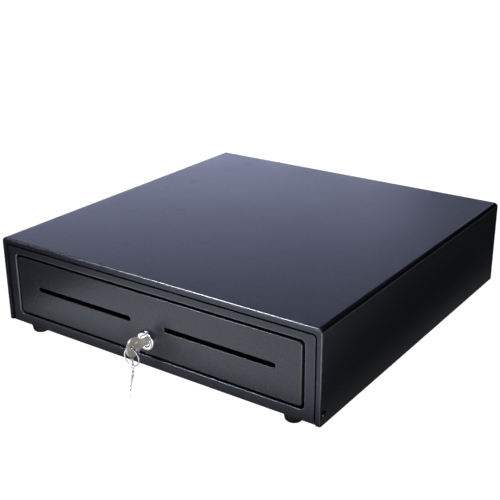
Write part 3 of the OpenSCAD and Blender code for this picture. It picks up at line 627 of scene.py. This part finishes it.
def plate(name, outer, holes, low, high, edge_r=0.0):
    """Flat plate drawn in (x, y), from low to high in z."""
    build = Build()
    bottom, top = [[build.loop([(x, y, z) for x, y in outline]) for outline in [outer] + holes]
                   for z in (low, high)]
    for a, b in zip(bottom, top):
        build.join(a, b)
    for loops in (bottom, top):
        build.fill(loops[0], loops[1:], axes=(0, 1))
    bm = build.bmesh()
    if edge_r:
        dissolve(bm, angle=0.5)
        round_edges(bm, edge_r, segments=3, angle=45)
    return finish(bm, name)


def cut(o, cutters):
    """Cuts the cutters out of an object and removes them."""
    for cutter in cutters:
        modifier = o.modifiers.new("b", "BOOLEAN")
        modifier.operation = "DIFFERENCE"
        modifier.solver = "EXACT"
        modifier.object = cutter
    bpy.context.view_layer.update()
    depsgraph = bpy.context.evaluated_depsgraph_get()
    mesh = bpy.data.meshes.new_from_object(o.evaluated_get(depsgraph))
    o.modifiers.clear()
    o.data = mesh
    for cutter in cutters:
        bpy.data.objects.remove(cutter)
    return o


def soften_cut(o, width, smooth):
    """Rounds the sharp edges of a finished object."""
    bm = reopen(o)
    bmesh.ops.remove_doubles(bm, verts=bm.verts, dist=WELD)
    dissolve(bm, angle=0.6)
    bmesh.ops.recalc_face_normals(bm, faces=bm.faces)
    round_edges(bm, width, segments=2, angle=50)
    for v in bm.verts:
        v.co *= MM
    bm.to_mesh(o.data)
    bm.free()
    shade(o.data, smooth)
    return o


def merge(parts, name):
    bm = bmesh.new()
    for part in parts:
        bm.from_mesh(part.data)
    mesh = bpy.data.meshes.new(name)
    bm.to_mesh(mesh)
    bm.free()
    for part in parts:
        bpy.data.objects.remove(part)
    shade(mesh, 35)
    return add_object(name, mesh)


# ------------------------------------------------------------------ handing pieces to the frame
DONE = set()


def seat(o):
    """Shifts a piece from counter-top heights to the frame's origin."""
    o.data.transform(Matrix.Translation((0, 0, -LIFT * MM)))


def dress(o, material):
    o.data.materials.clear()
    o.data.materials.append(MATERIALS[material])


def even(o):
    """Large flat faces set the normals at their borders, so rolled edges don't shade them."""
    modifier = o.modifiers.new("even", "WEIGHTED_NORMAL")
    modifier.mode = "FACE_AREA"
    modifier.weight = 50
    modifier.keep_sharp = True


def mark_folds(o):
    """Stores on each face how tightly the surface turns there, in 1/mm, as kappa."""
    widest, sharpest, tightest = 3.0, 0.6, 2.0  # face width in mm, edge angle, kappa
    bm = bmesh.new()
    bm.from_mesh(o.data)
    kappa = bm.faces.layers.float.new("kappa")
    for face in bm.faces:
        turn = 0.0
        length = max((e.calc_length() for e in face.edges), default=0.0)
        width = face.calc_area() / length / MM if length > 0 else 0.0
        if width > 1e-4:
            for e in face.edges:
                if len(e.link_faces) == 2 and e.calc_length() > 0.5 * length:
                    angle = e.calc_face_angle(0.0)
                    if angle < sharpest:
                        turn = max(turn, angle / max(width, 0.15))
        face[kappa] = min(turn, tightest) if width < widest else 0.0
    bm.to_mesh(o.data)
    bm.free()


def stand_for(node):
    """The piece takes a CAD node's place: the node is hidden and counted as done."""
    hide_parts(node)
    DONE.add(node)


def place(o, material, node):
    """Finishes a piece that rides on the same body as the CAD node it stands for."""
    seat(o)
    even(o)
    mark_folds(o)
    dress(o, material)
    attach(o, BODY_OF[node])
    stand_for(node)


# ------------------------------------------------------------------ main sizes
SHEET = 1.2
(_, FRONT, BOTTOM), (HALF_W, REAR, TOP) = box_mm("cover")
CORNER_R = 5.0
LIP_SIDE, LIP_TOP = 5.0, 6.0  # how far the cover's front lip reaches in
SCREW_Y, SCREW_Z = FRONT + 6.5, BOTTOM + 10.5  # side screws

(_, FACE, DRAWER_LOW), (DRAWER_HALF, _, DRAWER_TOP) = box_mm("drawer_front")
GAP = 2.8  # all round the drawer front
OPEN_LOW, OPEN_TOP, OPEN_HALF, OPEN_R = DRAWER_LOW - GAP, DRAWER_TOP + GAP, DRAWER_HALF + GAP, 5.0
SLOT_Z, SLOT_H = BOTTOM + 47.5, 5.4
SLOT_IN, SLOT_OUT = 22.0, 155.0  # ends, out from the middle
LOCK_X, LOCK_Z = 0.0, sum(c[2] for c in box_mm("lock_cylinder")) / 2
SEAM = 2.7  # dark seam between the cover's lip and the surround


# ------------------------------------------------------------------ cover: one folded sheet
def arch(half, top, r, y):
    """Open upside-down U from the cover's bottom left round to its bottom right."""
    r = max(r, 0.02)
    rise, across = 6, 14  # segments up each side and along the top
    left = [(-half, BOTTOM + (top - r - BOTTOM) * i / rise) for i in range(rise)]
    left_bend = arc(-half + r, top - r, r, 180, 90, 10)
    along = [(-half + r + (2 * half - 2 * r) * i / across, top) for i in range(1, across)]
    right_bend = arc(half - r, top - r, r, 90, 0, 10)
    right = [(half, top - r - (top - r - BOTTOM) * i / rise) for i in range(1, rise + 1)]
    return [(x, y, z) for x, z in left + left_bend + along + right_bend + right]


def cover_end(y, inward, lip_side, lip_top, lip_r, inner):
    """Loops from a lip's edge to the start of the straight walls. inward is the sign in Y."""
    start = y + inward * (SHEET if inner else 0.0)
    loops = [arch(HALF_W - lip_side, TOP - lip_top, lip_r, start)]
    if inner:
        for inset, depth in ((SHEET + 0.25, 0), (SHEET + 0.07, 0.07), (SHEET, 0.25)):
            loops.append(arch(HALF_W - inset, TOP - inset, CORNER_R - inset,
                              start + inward * depth))
    else:
        for inset, depth in roll(2.2, 6):
            loops.append(arch(HALF_W - 0.5 * inset, TOP - inset, CORNER_R - inset,
                              y + inward * depth))
    return loops


def cover_skin(build, inner):
    inset = SHEET if inner else 0.0
    front = cover_end(FRONT, 1, LIP_SIDE, LIP_TOP, 4.2, inner)
    rear = cover_end(REAR, -1, 9.0, 9.0, 2.6, inner)
    walls = [arch(HALF_W - inset, TOP - inset, CORNER_R - inset, FRONT + (REAR - FRONT) * t)
             for t in (0.1, 0.3, 0.5, 0.7, 0.9)]
    return [build.loop(points) for points in front + walls + rear[::-1]]


def make_cover():
    build = Build()
    outer, inner = cover_skin(build, False), cover_skin(build, True)
    build.chain(outer, closed=False)
    build.chain(inner, closed=False)
    for end in (0, -1):
        build.join(outer[end], inner[end], closed=False)
    for end in (0, -1):  # the sheet's bottom edges, left and right
        build.faces.append([loop[end] for loop in outer] + [loop[end] for loop in inner][::-1])
    shell = build.object("cover_shell", 32.0)
    holes = []
    for s in (-1, 1):
        low, high = sorted((s * (HALF_W - 3), s * (HALF_W + 1)))
        holes.append(pin("x", 2.15, low, high, (0, SCREW_Y, SCREW_Z)))
        for z in (44, 86):
            holes.append(pin("y", 2.15, REAR - 3, REAR + 1, (s * (HALF_W - 5.5), 0, z)))
    cut(shell, holes)
    bm = reopen(shell)
    round_edges(bm, width=0.22, segments=2, angle=60)
    bpy.data.objects.remove(shell)
    return finish(bm, "cover_shell", 32.0)


def close_up(o):
    """Takes loose points and lines out of a mesh and fills any small gap left in it."""
    bm = bmesh.new()
    bm.from_mesh(o.data)
    bmesh.ops.delete(bm, geom=[v for v in bm.verts if not v.link_faces], context="VERTS")
    bmesh.ops.delete(bm, geom=[e for e in bm.edges if not e.link_faces], context="EDGES")
    rims = [e for e in bm.edges if len(e.link_faces) == 1]
    bmesh.ops.holes_fill(bm, edges=rims, sides=8)
    bm.to_mesh(o.data)
    bm.free()
    return o


place(close_up(make_cover()), "powder_cover", "cover")


# ------------------------------------------------------------------ drawer front: a shallow pressing
def make_drawer_front():
    build = Build()
    corner_r, depth, trim = 3.5, 11, 0.25  # trim eases the rear rim

    def rim(inset, back, top_share=1.0, slack=0.0):
        return build.upright(
            rounded(-DRAWER_HALF + inset, DRAWER_HALF - inset, DRAWER_LOW + inset,
                    DRAWER_TOP - top_share * inset, corner_r - inset + slack, 10), FACE + back)

    # the top edge is rolled more sharply than the others
    outer = [rim(inset, back, top_share=0.3, slack=0.01) for inset, back in roll(1.5, 6)]
    outer += [rim(0, 5.0), rim(0, depth - trim), rim(trim, depth)]
    inner = [rim(SHEET + 0.3, SHEET), rim(SHEET, SHEET + 0.3), rim(SHEET, depth - trim),
             rim(SHEET - trim, depth)]
    build.chain(outer)
    build.chain(inner)
    build.join(outer[-1], inner[-1])
    face_holes, back_holes = [], []

    def hole(shape):
        """Opening with a rolled front edge; shape(grow) is its outline grown by that much."""
        loops = [build.upright(shape(grow), FACE + back) for grow, back in roll(0.9, 4)]
        loops.append(build.upright(shape(0), FACE + SHEET - 0.2))
        loops.append(build.upright(shape(0.2), FACE + SHEET))
        build.chain(loops)
        face_holes.append(loops[0])
        back_holes.append(loops[-1])

    for s in (-1, 1):
        left, right = sorted((s * SLOT_IN, s * SLOT_OUT))
        hole(lambda grow: rounded(
            left - grow, right + grow, SLOT_Z - SLOT_H / 2 - 0.3 * grow,
            SLOT_Z + SLOT_H / 2 + grow, SLOT_H / 2 + 0.65 * grow - 0.01, 8))
    hole(lambda grow: circle(LOCK_X, LOCK_Z, 8.6 + grow, 48))
    build.fill(outer[0], face_holes)
    build.fill(inner[0], back_holes)
    parts = [build.object("drawer_face", 30.0)]

    # studs behind the face: radius, distance back from the face
    stud = [(AXIS_R, SHEET - 0.02), (2.9, SHEET - 0.02), (2.0, SHEET + 0.5), (2.0, 8.7),
            (1.6, 9), (AXIS_R, 9)]
    profile = soften([(r, FACE + back) for r, back in stud], 0.15)
    for s in (-1, 1):
        for z in (35, 79):
            parts.append(lathe("stud", profile, "y", (s * 165, 0, z), 24))
    return merge(parts, "drawer_face")


place(make_drawer_front(), "powder_front", "drawer_front")


# ------------------------------------------------------------------ front frame round the opening
# the face stops short of the cover's lip; a set-back strip behind it carries on to the
# edge, so a dark seam shows between them
FACE_HALF, FACE_TOP, FACE_R = HALF_W - LIP_SIDE - SEAM, TOP - LIP_TOP - SEAM, 3.2
FACE_DEPTH = 4
INSET = 1.4  # of the strips, from the cover's outside
FLANGE = 7.5  # opening's return flange, back from the sheet


def surround_face():
    build = Build()

    def panel(inset, back):
        half, top, r, low = FACE_HALF - inset, FACE_TOP - inset, FACE_R - inset, BOTTOM + inset
        return build.upright([(-half, low), (half, low)] + arc(half - r, top - r, r, 0, 90, 8)
                             + arc(-half + r, top - r, r, 90, 180, 8), FACE + back)

    def opening(grow, back, low_share=1.0):
        return build.upright(
            rounded(-OPEN_HALF - grow, OPEN_HALF + grow, OPEN_LOW - low_share * grow,
                    OPEN_TOP + grow, OPEN_R + grow, 10), FACE + back)

    border = [panel(inset, back) for inset, back in (
        (0.35, 0), (0.10, 0.10), (0, 0.35), (0, FACE_DEPTH - 0.1), (0.1, FACE_DEPTH),
        (SHEET - 0.1, FACE_DEPTH), (SHEET, FACE_DEPTH - 0.1), (SHEET, SHEET + 0.1),
        (SHEET + 0.1, SHEET))]
    build.chain(border)
    # the face rolls into the flange, more sharply along the bottom
    flange = [opening(grow, back, low_share=0.3) for grow, back in roll(1.3, 6)]
    flange += [opening(grow, back) for grow, back in (
        (0, SHEET + FLANGE - 0.2), (0.2, SHEET + FLANGE), (SHEET - 0.2, SHEET + FLANGE),
        (SHEET, SHEET + FLANGE - 0.2), (SHEET, SHEET + 0.3), (SHEET + 0.3, SHEET))]
    build.chain(flange)
    build.fill(border[0], [flange[0]])
    build.fill(border[-1], [flange[-1]])
    return build.object("front_surround", 30.0)


def set_back_strip():
    """Upside-down U behind the face's border."""
    build = Build()
    half, top, r = HALF_W - INSET, TOP - INSET, CORNER_R - INSET
    in_half, in_top, in_r = FACE_HALF - 2.0, FACE_TOP - 2.0, 1.5
    outline = [(half, BOTTOM)] + arc(half - r, top - r, r, 0, 90, 8)
    outline += arc(-half + r, top - r, r, 90, 180, 8) + [(-half, BOTTOM), (-in_half, BOTTOM)]
    outline += arc(-in_half + in_r, in_top - in_r, in_r, 180, 90, 4)
    outline += arc(in_half - in_r, in_top - in_r, in_r, 90, 0, 4) + [(in_half, BOTTOM)]
    front = build.upright(outline, FACE + 3.9)
    back = build.upright(outline, FACE + 3.9 + SHEET)
    build.join(front, back)
    build.fill(front)
    build.fill(back)
    return build.object("set_back", 30.0)


def make_front_frame():
    parts = [surround_face(), set_back_strip()]
    hole_r = 2.05
    strip_y = (FACE + 4.1, FRONT + 16)
    for s in (-1, 1):
        side = block(sorted((s * (HALF_W - INSET - SHEET), s * (HALF_W - INSET))),
                     strip_y, (BOTTOM + 0.3, 98))
        parts.append(cut(side, [pin("x", hole_r, -3, 3, (s * (HALF_W - 2), SCREW_Y, SCREW_Z))]))
    parts.append(block((-198, 198), strip_y, (TOP - INSET - SHEET, TOP - INSET)))
    for s in (-1, 1):  # small blocks that close the seam at the bottom
        parts.append(block(sorted((s * (FACE_HALF - 0.4), s * (HALF_W - 1.6))),
                           (FACE + 0.02, FACE + 4.3), (BOTTOM + 0.02, BOTTOM + 1.1)))
    low = block((-198, 198), (FACE + SHEET - 0.3, FRONT + 24), (BOTTOM + SHEET, BOTTOM + 2 * SHEET))
    parts.append(cut(low, [pin("z", hole_r, -3, 3, (s * 169, FRONT + 13, BOTTOM + 1.5 * SHEET))
                           for s in (-1, 1)]))
    return merge(parts, "front_surround")


place(make_front_frame(), "powder_coat", "front_frame")


# ------------------------------------------------------------------ feet
def make_foot(node):
    low, high = box_mm(node)
    x, y, _ = middle(low, high)
    h = high[2]
    # radius, height: a recess below, and a bore above it
    profile = [(4.6, 0.0), (7.4, 0.0), (8.7, 1.3), (9.0, 1.6), (10.35, h - 1.4), (10.4, h - 0.9),
               (10.4, h), (2.15, h), (2.15, 5.0), (4.6, 5.0)]
    return lathe(node + "_rubber", soften(profile, 0.45, 4), "z", (x, y, 0), 64, 28)


for foot in ("foot_front_left", "foot_front_right", "foot_rear_left", "foot_rear_right"):
    place(make_foot(foot), "foot_rubber", foot)


# ------------------------------------------------------------------ lock
# radius, distance back from the tip
BARREL_NOSE = [
    (6.08, 2.2), (6.75, 1.7), (6.85, 0.45), (7.05, 0.22), (7.9, 0.14), (8.15, 0.75),
    (8.4, 0.78), (8.65, 0.12), (8.9, 0.01), (9.2, 0), (9.9, 0.18), (10.45, 0.55),
    (10.75, 1.2), (10.8, 1.9), (10.8, 3.55),
]
PLUG_NOSE = [(AXIS_R, 0.15), (1.6, 0.1), (3.4, 0.03), (5.1, 0), (5.6, 0.12), (5.95, 0.5),
             (6.0, 1.2)]
# x, z from the lock's axis, with a side ward
KEYWAY = [(-1.25, -4.1), (2.2, -4.1), (2.4, -3.4), (2.2, -1.3), (1.3, -0.9), (1.3, 0.2),
          (2.3, 0.6), (2.5, 2.4), (2.2, 4.1), (-1.25, 4.1)]


def make_barrel():
    tip = FACE - 3.9
    thread_r, thread_pitch = 8.5, 1.1
    profile = [(6.08, FRONT + 23)] + [(r, tip + back) for r, back in BARREL_NOSE]
    profile += [(10.55, FACE), (thread_r, FACE)]
    y = FACE + 0.1
    while y < FRONT + 21.5:
        profile += [(thread_r, y + 0.1), (8.22, y + 0.55), (8.22, y + 0.65)]
        y += thread_pitch
    profile += [(8.3, FRONT + 22.6), (7.9, FRONT + 23)]
    return lathe("lock_body", profile, "y", (LOCK_X, 0, LOCK_Z), 96, 24)


def make_plug():
    tip = FACE - 3.3
    profile = [(r, tip + back) for r, back in PLUG_NOSE]
    profile += [(6.0, FRONT + 24.8), (5.7, FRONT + 25), (AXIS_R, FRONT + 25)]
    plug = lathe("lock_plug", profile, "y", (LOCK_X, 0, LOCK_Z), 96, 24)
    build = Build()
    outline = [(LOCK_X + x, LOCK_Z + z) for x, z in KEYWAY]
    front = build.upright(outline, FACE - 7)
    back = build.upright(outline, FACE + 18)
    build.join(front, back)
    build.caps(front, back)
    cut(plug, [build.object("keyway", 30)])
    return soften_cut(plug, width=0.10, smooth=30)


place(make_barrel(), "lock_chrome", "lock_barrel")
place(make_plug(), "lock_chrome", "lock_cylinder")


# ------------------------------------------------------------------ keys
BOW_R = 10.5
KEY_HALF = 1.1  # half the blank's thickness
BITTING = (0.5, 1.2, 2.3, 0.9, 1.9, 0.3)  # depth of each cut, from the tip


def key_outline(neck, shoulders, blade, end):
    """Bow, then its lower shoulder, the blade out to the tip and back, and the upper one."""
    opening = 24  # half the bow's open angle
    bow_end = BOW_R * math.cos(math.radians(opening)) + 0.6
    (low, high), (blade_low, blade_high) = shoulders, blade
    points = arc(0, 0, BOW_R, opening, 360 - opening, 56)
    points += [(bow_end, low - 0.2), (neck - 0.5, low), (neck, low + 0.5), (neck, blade_low)]
    points += [(end - 2.2, blade_low), (end, blade_low + 2.0), (end, blade_low + 3.2),
               (end - 1.8, blade_high - 0.5)]
    step = (end - neck - 5.5) / len(BITTING)
    for i, depth in enumerate(BITTING):
        x = end - 2.6 - i * step
        points += [(x, blade_high - 0.25), (x - step * 0.30, blade_high - depth),
                   (x - step * 0.62, blade_high - depth)]
    points += [(neck + 1.2, blade_high), (neck, blade_high), (neck, high - 0.5),
               (neck - 0.5, high), (bow_end, high + 0.2)]
    return points


def make_key(name, neck, shoulders, blade, length, ring_hole):
    """Stamped key in its own plane: bow centre at the origin, blade along +X."""
    end = neck + length

    def holes(ring_r, small_r):
        return [circle(*ring_hole, ring_r, 32), circle(3.4, 3.9, small_r, 24),
                circle(3.4, -4.1, small_r, 24)]

    key = plate(name, key_outline(neck, shoulders, blade, end), holes(2.3, 1.5),
                -KEY_HALF, KEY_HALF, edge_r=0.28)
    # pressed recess on both faces of the bow, and a groove along each side of the blade
    cutters = []
    for s, shift in ((-1, 1.1), (1, -0.9)):
        low, high = sorted((s * (KEY_HALF - 0.32), s * (KEY_HALF + 0.5)))
        cutters.append(plate("recess", circle(0, 0, 8.7, 60), holes(3.5, 2.3), low, high))
        mid = sum(blade) / 2 + shift
        low, high = sorted((s * (KEY_HALF - 0.42), s * (KEY_HALF + 0.5)))
        groove = rounded(neck + 0.6, end + 2, mid - 0.8, mid + 0.8, 0.3, 3)
        cutters.append(plate("groove", groove, [], low, high))
    cut(key, cutters)
    return soften_cut(key, width=0.09, smooth=35)


key_low, key_high = box_mm("key")
key_bow = (middle(key_low, key_high)[0], key_low[1] + BOW_R, key_low[2] + BOW_R)
key = make_key("key_blank", neck=16.7, shoulders=(-5.4, 3.2), blade=(-4.8, 2.45), length=20.3,
               ring_hole=(-3.5, 0.6))
# the blade points back into the lock: key X to Y, Y to Z, Z to X
STAND = Matrix(((0, 0, 1, 0), (1, 0, 0, 0), (0, 1, 0, 0), (0, 0, 0, 1)))
key.data.transform(Matrix.Translation(Vector(key_bow) * MM) @ STAND)
place(key, "key_nickel", "key")

ring_low, ring_high = box_mm("key_ring")
RING_X, RING_Y, RING_Z = middle(ring_low, ring_high)
RING_R = (ring_high[0] - ring_low[0]) / 2 - 0.85
spare = make_key("key_second", neck=14.1, shoulders=(-4.6, 4.6), blade=(-3.7, 2.9), length=22.0,
                 ring_hole=(-3.5, -0.8))
# hangs at the ring's lowest point, turned 25 degrees down and 55 degrees round
hang = Matrix.Rotation(math.radians(-55), 4, "Z") @ Matrix.Rotation(math.radians(25), 4, "Y")
upright = (Matrix.Translation(Vector((4.05, 0, 0.8)) * MM)
           @ Matrix.Rotation(math.radians(90), 4, "X"))
ring_bottom = Vector((RING_X, RING_Y, RING_Z - RING_R)) * MM
spare.data.transform(Matrix.Translation(ring_bottom) @ hang @ upright)
# the spare key wears the painted-light copy of the key nickel
place(spare, "key_painted_light", "spare_key")


def make_ring():
    """Split ring: two close turns of flattened wire."""
    wire_r, wire_half = 0.50, 0.30  # across the ring's radius, along its axis
    steps, turns, shift = 144, 1.94, 0.31
    path = []
    for i in range(steps + 1):
        f = i / steps
        angle = 2 * math.pi * turns * f + math.radians(200)
        s = min(max((f - 0.40) / 0.2, 0.0), 1.0)
        s = s * s * (3 - 2 * s)
        path.append((RING_X + RING_R * math.cos(angle), RING_Y - shift + 2 * shift * s,
                     RING_Z + RING_R * math.sin(angle)))

    def squared(c):
        return math.copysign(abs(c) ** 0.55, c)

    section = [(squared(x) * wire_r, squared(y) * wire_half) for x, y in circle(0, 0, 1, 16)]
    return sweep("split_ring", path, section, up=(0, 1, 0))


place(make_ring(), "lock_chrome", "key_ring")


# ------------------------------------------------------------------ springs
def make_spring(name, axis, start, end, centre, r, turns, wire):
    """Coil along X (axis 0) or Y (axis 1), with closed end turns."""
    steps = 30  # a turn
    dead = 0.8  # turns lying flat at each end
    flat = 2 * wire * 1.02 * dead
    path = []
    for i in range(int(turns * steps) + 1):
        t = i / steps
        if t < dead:
            along = flat * t / dead
        elif t > turns - dead:
            along = (end - start) - flat * (turns - t) / dead
        else:
            along = flat + ((end - start) - 2 * flat) * (t - dead) / (turns - 2 * dead)
        angle = 2 * math.pi * t
        point = list(centre)
        point[axis] = start + along
        point[1 - axis] += r * math.cos(angle)
        point[2] += r * math.sin(angle)
        path.append(point)
    return sweep(name, path, circle(0, 0, wire, 10))


def place_spring(name, node, axis, girth_axis, turns, wire, margin, flip):
    """Coil spring filling a CAD node's box along the axis, in the node's place. flip has no effect.
    """
    low, high = box_mm(node)
    centre = middle(low, high)
    r = (high[girth_axis] - low[girth_axis]) / 2 - margin
    o = make_spring(name, axis, low[axis] + margin, high[axis] - margin, centre, r, turns, wire)
    seat(o)
    dress(o, "spring_wire")
    for limit in ((high, low) if flip else (low, high)):
        point = list(centre)
        point[axis] = limit[axis]
    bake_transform(o)
    stand_for(node)


place_spring("plunger_return_spring", "plunger_spring", axis=0, girth_axis=2,
             turns=4.6, wire=0.58, margin=0.6, flip=False)
place_spring("drawer_kick_spring", "kick_spring", axis=1, girth_axis=0,
             turns=6.6, wire=0.68, margin=0.7, flip=True)


# ------------------------------------------------------------------ printer socket contacts
CONTACT_PITCH = 1.4
# forward from the socket's rear, up from its bottom
CONTACT_PATH = [(1.2, 5.35), (2.0, 5.45), (2.8, 5.75), (9.4, 8.3), (10.2, 8.55), (11.3, 8.6),
                (13.2, 8.6)]
jack_low, jack_high = box_mm("rj_jack")
for i in range(6):
    x = middle(jack_low, jack_high)[0] - 2.5 * CONTACT_PITCH + CONTACT_PITCH * i
    path = [(x, jack_high[1] - ahead, jack_low[2] + rise) for ahead, rise in CONTACT_PATH]
    contact = sweep("socket_contact_%d" % (i + 1), path, circle(0, 0, 0.27, 8), up=(1, 0, 0))
    seat(contact)
    even(contact)
    dress(contact, "contact_gold")
    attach(contact, BODY_OF["rj_jack"])


# ------------------------------------------------------------------ every other CAD node
# these wear a material other than their slot's
OWN_MATERIAL = {"case_screws": "screw_black", "rear_panel": "powder_coat",
                "base_plate": "powder_coat", "drawer_pan": "powder_inner"}
for name, o in NODES.items():
    if name in DONE:
        continue
    dress(o, OWN_MATERIAL.get(name, SLOTS[name]))
    weld = o.modifiers.new("weld", "WELD")
    weld.merge_threshold = 1e-6
    planar = o.modifiers.new("planar", "DECIMATE")
    planar.decimate_type = "DISSOLVE"
    planar.angle_limit = math.radians(0.5)
    edges = o.modifiers.new("edges", "BEVEL")
    edges.width = 0.00022
    edges.segments = 2
    edges.limit_method = "ANGLE"
    edges.angle_limit = math.radians(42)
    edges.harden_normals = False
    normals = o.modifiers.new("normals", "WEIGHTED_NORMAL")
    normals.keep_sharp = True


# ------------------------------------------------------------------ stage (metres)
WHITE = (1.0, 1.0, 1.0, 1)
PAPER = 1.06  # strength of the white the camera sees


def plane(name, size, at, turn=(0, 0, 0)):
    mesh = bpy.data.meshes.new(name)
    x, y = size[0] / 2, size[1] / 2
    mesh.from_pydata([(-x, -y, 0), (x, -y, 0), (x, y, 0), (-x, y, 0)], [], [(0, 1, 2, 3)])
    o = add_object(name, mesh)
    o.location = at
    o.rotation_euler = turn
    return o


def floor_paper():
    """Clean white to the camera. The drawer's coat mirrors dark paper with glowing zones painted on
    it.
    """
    mat = Shader("floor_paper")
    path = mat.node("ShaderNodeLightPath")
    geometry = mat.node("ShaderNodeNewGeometry")
    position = mat.node("ShaderNodeSeparateXYZ")
    mat.link(geometry.outputs["Position"], position.inputs[0])
    white = mat.node("ShaderNodeEmission")
    white.inputs[0].default_value = WHITE
    white.inputs[1].default_value = PAPER
    # painted glow: emission zones on the floor that the camera never sees; the coat mirrors them
    painted_glow = mat.node("ShaderNodeEmission")
    painted_glow.inputs[0].default_value = (0.93, 0.95, 1.0, 1)
    x, y = position.outputs[0], position.outputs[1]
    # main glowing zone: in front, to the left, fading out far ahead
    slant = mat.add(mat.mul(x, by=0.57), mat.mul(y, by=0.0902))
    left = mat.ramp(slant, low=-0.170, high=-0.136)
    ahead = mat.ramp(y, low=-0.222, high=-0.272)
    # faint glowing strip along the right
    beside = mat.mul(mat.ramp(x, low=0.240, high=0.212), by=mat.ramp(x, low=0.19, high=0.20))
    beside = mat.mul(beside, by=0.12)
    # glowing zone further to the right, past a slanting border
    slant = mat.calc("SUBTRACT", x, mat.mul(mat.add(y, 0.077), by=0.246))
    away = mat.ramp(slant, low=0.300, high=0.320)
    away = mat.mul(away, by=mat.ramp(y, low=-0.235, high=-0.32, start=0.25, end=0.9))
    away = mat.mul(away, by=mat.ramp(x, low=1.3, high=0.7))
    beside = mat.add(beside, away)
    main = mat.mul(mat.mul(left, by=ahead), by=mat.ramp(y, low=-1.6, high=-0.9))
    mat.link(mat.mul(mat.add(main, beside), by=1.45), painted_glow.inputs[1])

    mottle = mat.ramp(mat.noise(scale=30, detail=3.0), low=0.3, high=0.7)
    mat.set(base=mat.mix((0.016, 0.016, 0.017), (0.018, 0.018, 0.019), amount=mottle),
            rough=0.75, spec=0.10)
    lit = mat.node("ShaderNodeAddShader")
    mat.link(mat.surface.outputs[0], lit.inputs[0])
    mat.link(painted_glow.outputs[0], lit.inputs[1])
    seen = mat.node("ShaderNodeMixShader")
    mat.link(path.outputs["Is Camera Ray"], seen.inputs[0])
    mat.link(lit.outputs[0], seen.inputs[1])
    mat.link(white.outputs[0], seen.inputs[2])
    mat.link(seen.outputs[0], mat.output.inputs["Surface"])
    return mat.material


floor = plane("floor", size=(14, 14), at=(0, 0, -LIFT * MM))
floor.data.materials.append(floor_paper())


def make_world():
    """Dim cool surroundings, white to the camera."""
    world = bpy.data.worlds.new("studio")
    bpy.context.scene.world = world
    world.use_nodes = True
    nodes, links = world.node_tree.nodes, world.node_tree.links
    nodes.clear()
    output = nodes.new("ShaderNodeOutputWorld")
    dim = nodes.new("ShaderNodeBackground")
    white = nodes.new("ShaderNodeBackground")
    mix = nodes.new("ShaderNodeMixShader")
    path = nodes.new("ShaderNodeLightPath")
    for node, colour, strength in ((dim, (0.62, 0.66, 0.78, 1), 0.005), (white, WHITE, PAPER)):
        node.inputs[0].default_value = colour
        node.inputs[1].default_value = strength
    links.new(path.outputs["Is Camera Ray"], mix.inputs[0])
    links.new(dim.outputs[0], mix.inputs[1])
    links.new(white.outputs[0], mix.inputs[2])
    links.new(mix.outputs[0], output.inputs["Surface"])


make_world()


def area(name, at, aim, size, power, colour, spread=180.0):
    """Rectangular light at a place, aimed at a point."""
    light = bpy.data.lights.new(name, "AREA")
    light.shape = "RECTANGLE"
    light.size, light.size_y = size
    light.energy = power
    light.color = colour
    light.spread = math.radians(spread)
    o = add_object(name, light)
    o.location = at
    o.rotation_euler = (Vector(aim) - Vector(at)).to_track_quat("-Z", "Y").to_euler()
    return o


# low softbox behind and to the left, mirrored by the top
area("back_left", at=(-1.655, 1.905, 0.39), aim=(-0.1, 0, 0.1), size=(1.86, 0.62),
     power=17.4, colour=(0.64, 0.69, 1.0))
area("back_right", at=(-0.66, 2.74, 1.02), aim=(0.1, 0, 0.1), size=(0.7, 0.6),
     power=1.5, colour=(0.66, 0.71, 1.0))
# high key to the front left, mirrored by the front fold
area("key_top", at=(-0.95, -0.80, 1.65), aim=(0, 0, 0.1), size=(0.75, 0.40),
     power=38.0, colour=(0.84, 0.88, 1.0))
fill = area("key_fill", at=(0.36, -0.55, 0.035), aim=(0, -0.235, 0.035), size=(0.10, 0.10),
            power=0.22, colour=(1.0, 0.98, 0.95), spread=46)
fill.visible_camera = False
fill.visible_glossy = False
area("front_fill", at=(-0.35, -2.1, 0.42), aim=(0.0, -0.2, 0.06), size=(0.7, 0.5),
     power=4.6, colour=(0.86, 0.90, 1.0))
area("overhead", at=(-0.41, 0.37, 2.25), aim=(-0.05, 0, 0.1), size=(1.25, 1.25),
     power=5.0, colour=(0.80, 0.85, 1.0))

# black card between the front light and the drawer's upper left corner
card = plane("card", size=(0.34, 0.30), at=(-0.34, -0.46, 0.20),
             turn=(math.radians(90), math.radians(-25), 0))
black = Shader("card_black")
mottle = black.ramp(black.noise(scale=40, detail=2.0), low=0.3, high=0.7)
black.set(base=black.mix((0.006, 0.006, 0.006), (0.009, 0.009, 0.009), amount=mottle),
          rough=0.9, spec=0.05)
card.data.materials.append(black.material)
card.visible_camera = False


def make_camera():
    """Camera to the front right, looking down a little."""
    lens = bpy.data.cameras.new("camera")
    camera = add_object("camera", lens)
    around, above, roll_angle = (math.radians(a) for a in (34.884, 21.610, -0.327))
    back = Vector((math.sin(around) * math.cos(above), -math.cos(around) * math.cos(above),
                   math.sin(above)))
    right = Vector((math.cos(around), math.sin(around), 0))
    up = back.cross(right)
    rolled_right = right * math.cos(roll_angle) + up * math.sin(roll_angle)
    rolled_up = -right * math.sin(roll_angle) + up * math.cos(roll_angle)
    pose = Matrix((rolled_right, rolled_up, back)).transposed().to_4x4()
    pose.translation = Vector((575.53, -848.76, 476.70 - LIFT)) * MM
    camera.matrix_world = pose
    lens.sensor_width = 36.0
    lens.lens = 67.92
    lens.clip_start = 0.01
    bpy.context.scene.camera = camera


make_camera()
bpy.context.scene.view_settings.view_transform = "Standard"
